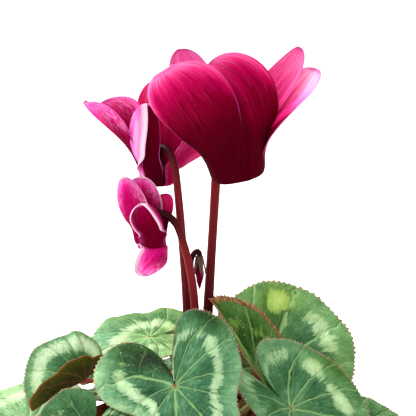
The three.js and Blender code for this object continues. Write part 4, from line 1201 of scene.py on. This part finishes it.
def make_stage():
    bpy.ops.mesh.primitive_plane_add(size=FLOOR["size"], location=(0, 0, -FLOOR["below"]))
    floor = bpy.context.object
    floor.name = "floor"
    floor.data.materials.append(Graph("floor").finish(FLOOR["colour"], FLOOR["roughness"]))
    make_sky()
    for name, given in LAMPS.items():
        lamp = bpy.data.lights.new(name, "AREA")
        lamp.size, lamp.energy = given["size"], given["power"]
        light = bpy.data.objects.new(name, lamp)
        light.location = given["spot"]
        light.rotation_euler = (Vector(LAMPS_AIM) - light.location).to_track_quat("-Z", "Y").to_euler()
        bpy.context.scene.collection.objects.link(light)


def make_sky():
    """A white sky that is brighter above, behind and to the left than in front."""
    world = bpy.data.worlds.new("sky")
    bpy.context.scene.world = world
    world.use_nodes = True
    tree = world.node_tree
    at = tree.nodes.new("ShaderNodeTexCoord")
    lean = tree.nodes.new("ShaderNodeVectorMath")
    lean.operation = "DOT_PRODUCT"
    lean.inputs[1].default_value = SKY["towards"]
    spread = tree.nodes.new("ShaderNodeMapRange")
    spread.interpolation_type = "SMOOTHSTEP"
    limits = {"From Min": "dim_at", "From Max": "bright_at", "To Min": "low", "To Max": "high"}
    for name, key in limits.items():
        spread.inputs[name].default_value = SKY[key]
    sky = tree.nodes["Background"]
    sky.inputs[0].default_value = (1, 1, 1, 1)
    tree.links.new(at.outputs["Generated"], lean.inputs[0])
    tree.links.new(lean.outputs["Value"], spread.inputs["Value"])
    tree.links.new(spread.outputs["Result"], sky.inputs[1])


def make_camera():
    lens = bpy.data.cameras.new("camera")
    lens.lens, lens.sensor_width = CAMERA["lens"], CAMERA["sensor"]
    lens.clip_start = 0.01
    camera = bpy.data.objects.new("camera", lens)
    target = Vector(CAMERA["target"]) * MM
    up = math.radians(CAMERA["elevation"])
    camera.location = target + Vector((0, -math.cos(up), math.sin(up))) * CAMERA["distance"] * MM
    camera.rotation_euler = (target - camera.location).to_track_quat("-Z", "Y").to_euler()
    bpy.context.scene.collection.objects.link(camera)
    bpy.context.scene.camera = camera
    bpy.context.scene.view_settings.view_transform = "Standard"
    bpy.context.scene.view_settings.exposure = EXPOSURE


def main():
    make_camera()
    make_stage()
    make_pot()
    make_soil()
    make_tuber()
    leaves = {**UPPER_LEAVES, **skirt_leaves()}
    for seed, (name, leaf) in enumerate(leaves.items(), 1):
        make_leaf(name, {**LEAF_DEFAULTS, **leaf}, seed)
    for seed, (name, given) in enumerate(BLOOMS.items(), len(leaves) + 1):
        bloom = {**BLOOM_DEFAULTS, **given}
        make_stalk(name, bloom, tube_calyx(bloom["size"]), seed)
        make_corolla(name, bloom, seed * 7)
    for seed, (name, given) in enumerate(BUDS.items(), len(leaves) + len(BLOOMS) + 1):
        bud = {**BLOOM_DEFAULTS, **given}
        make_stalk(name, bud, bud_calyx(bud), seed)
        make_bud(name, bud, seed)


main()
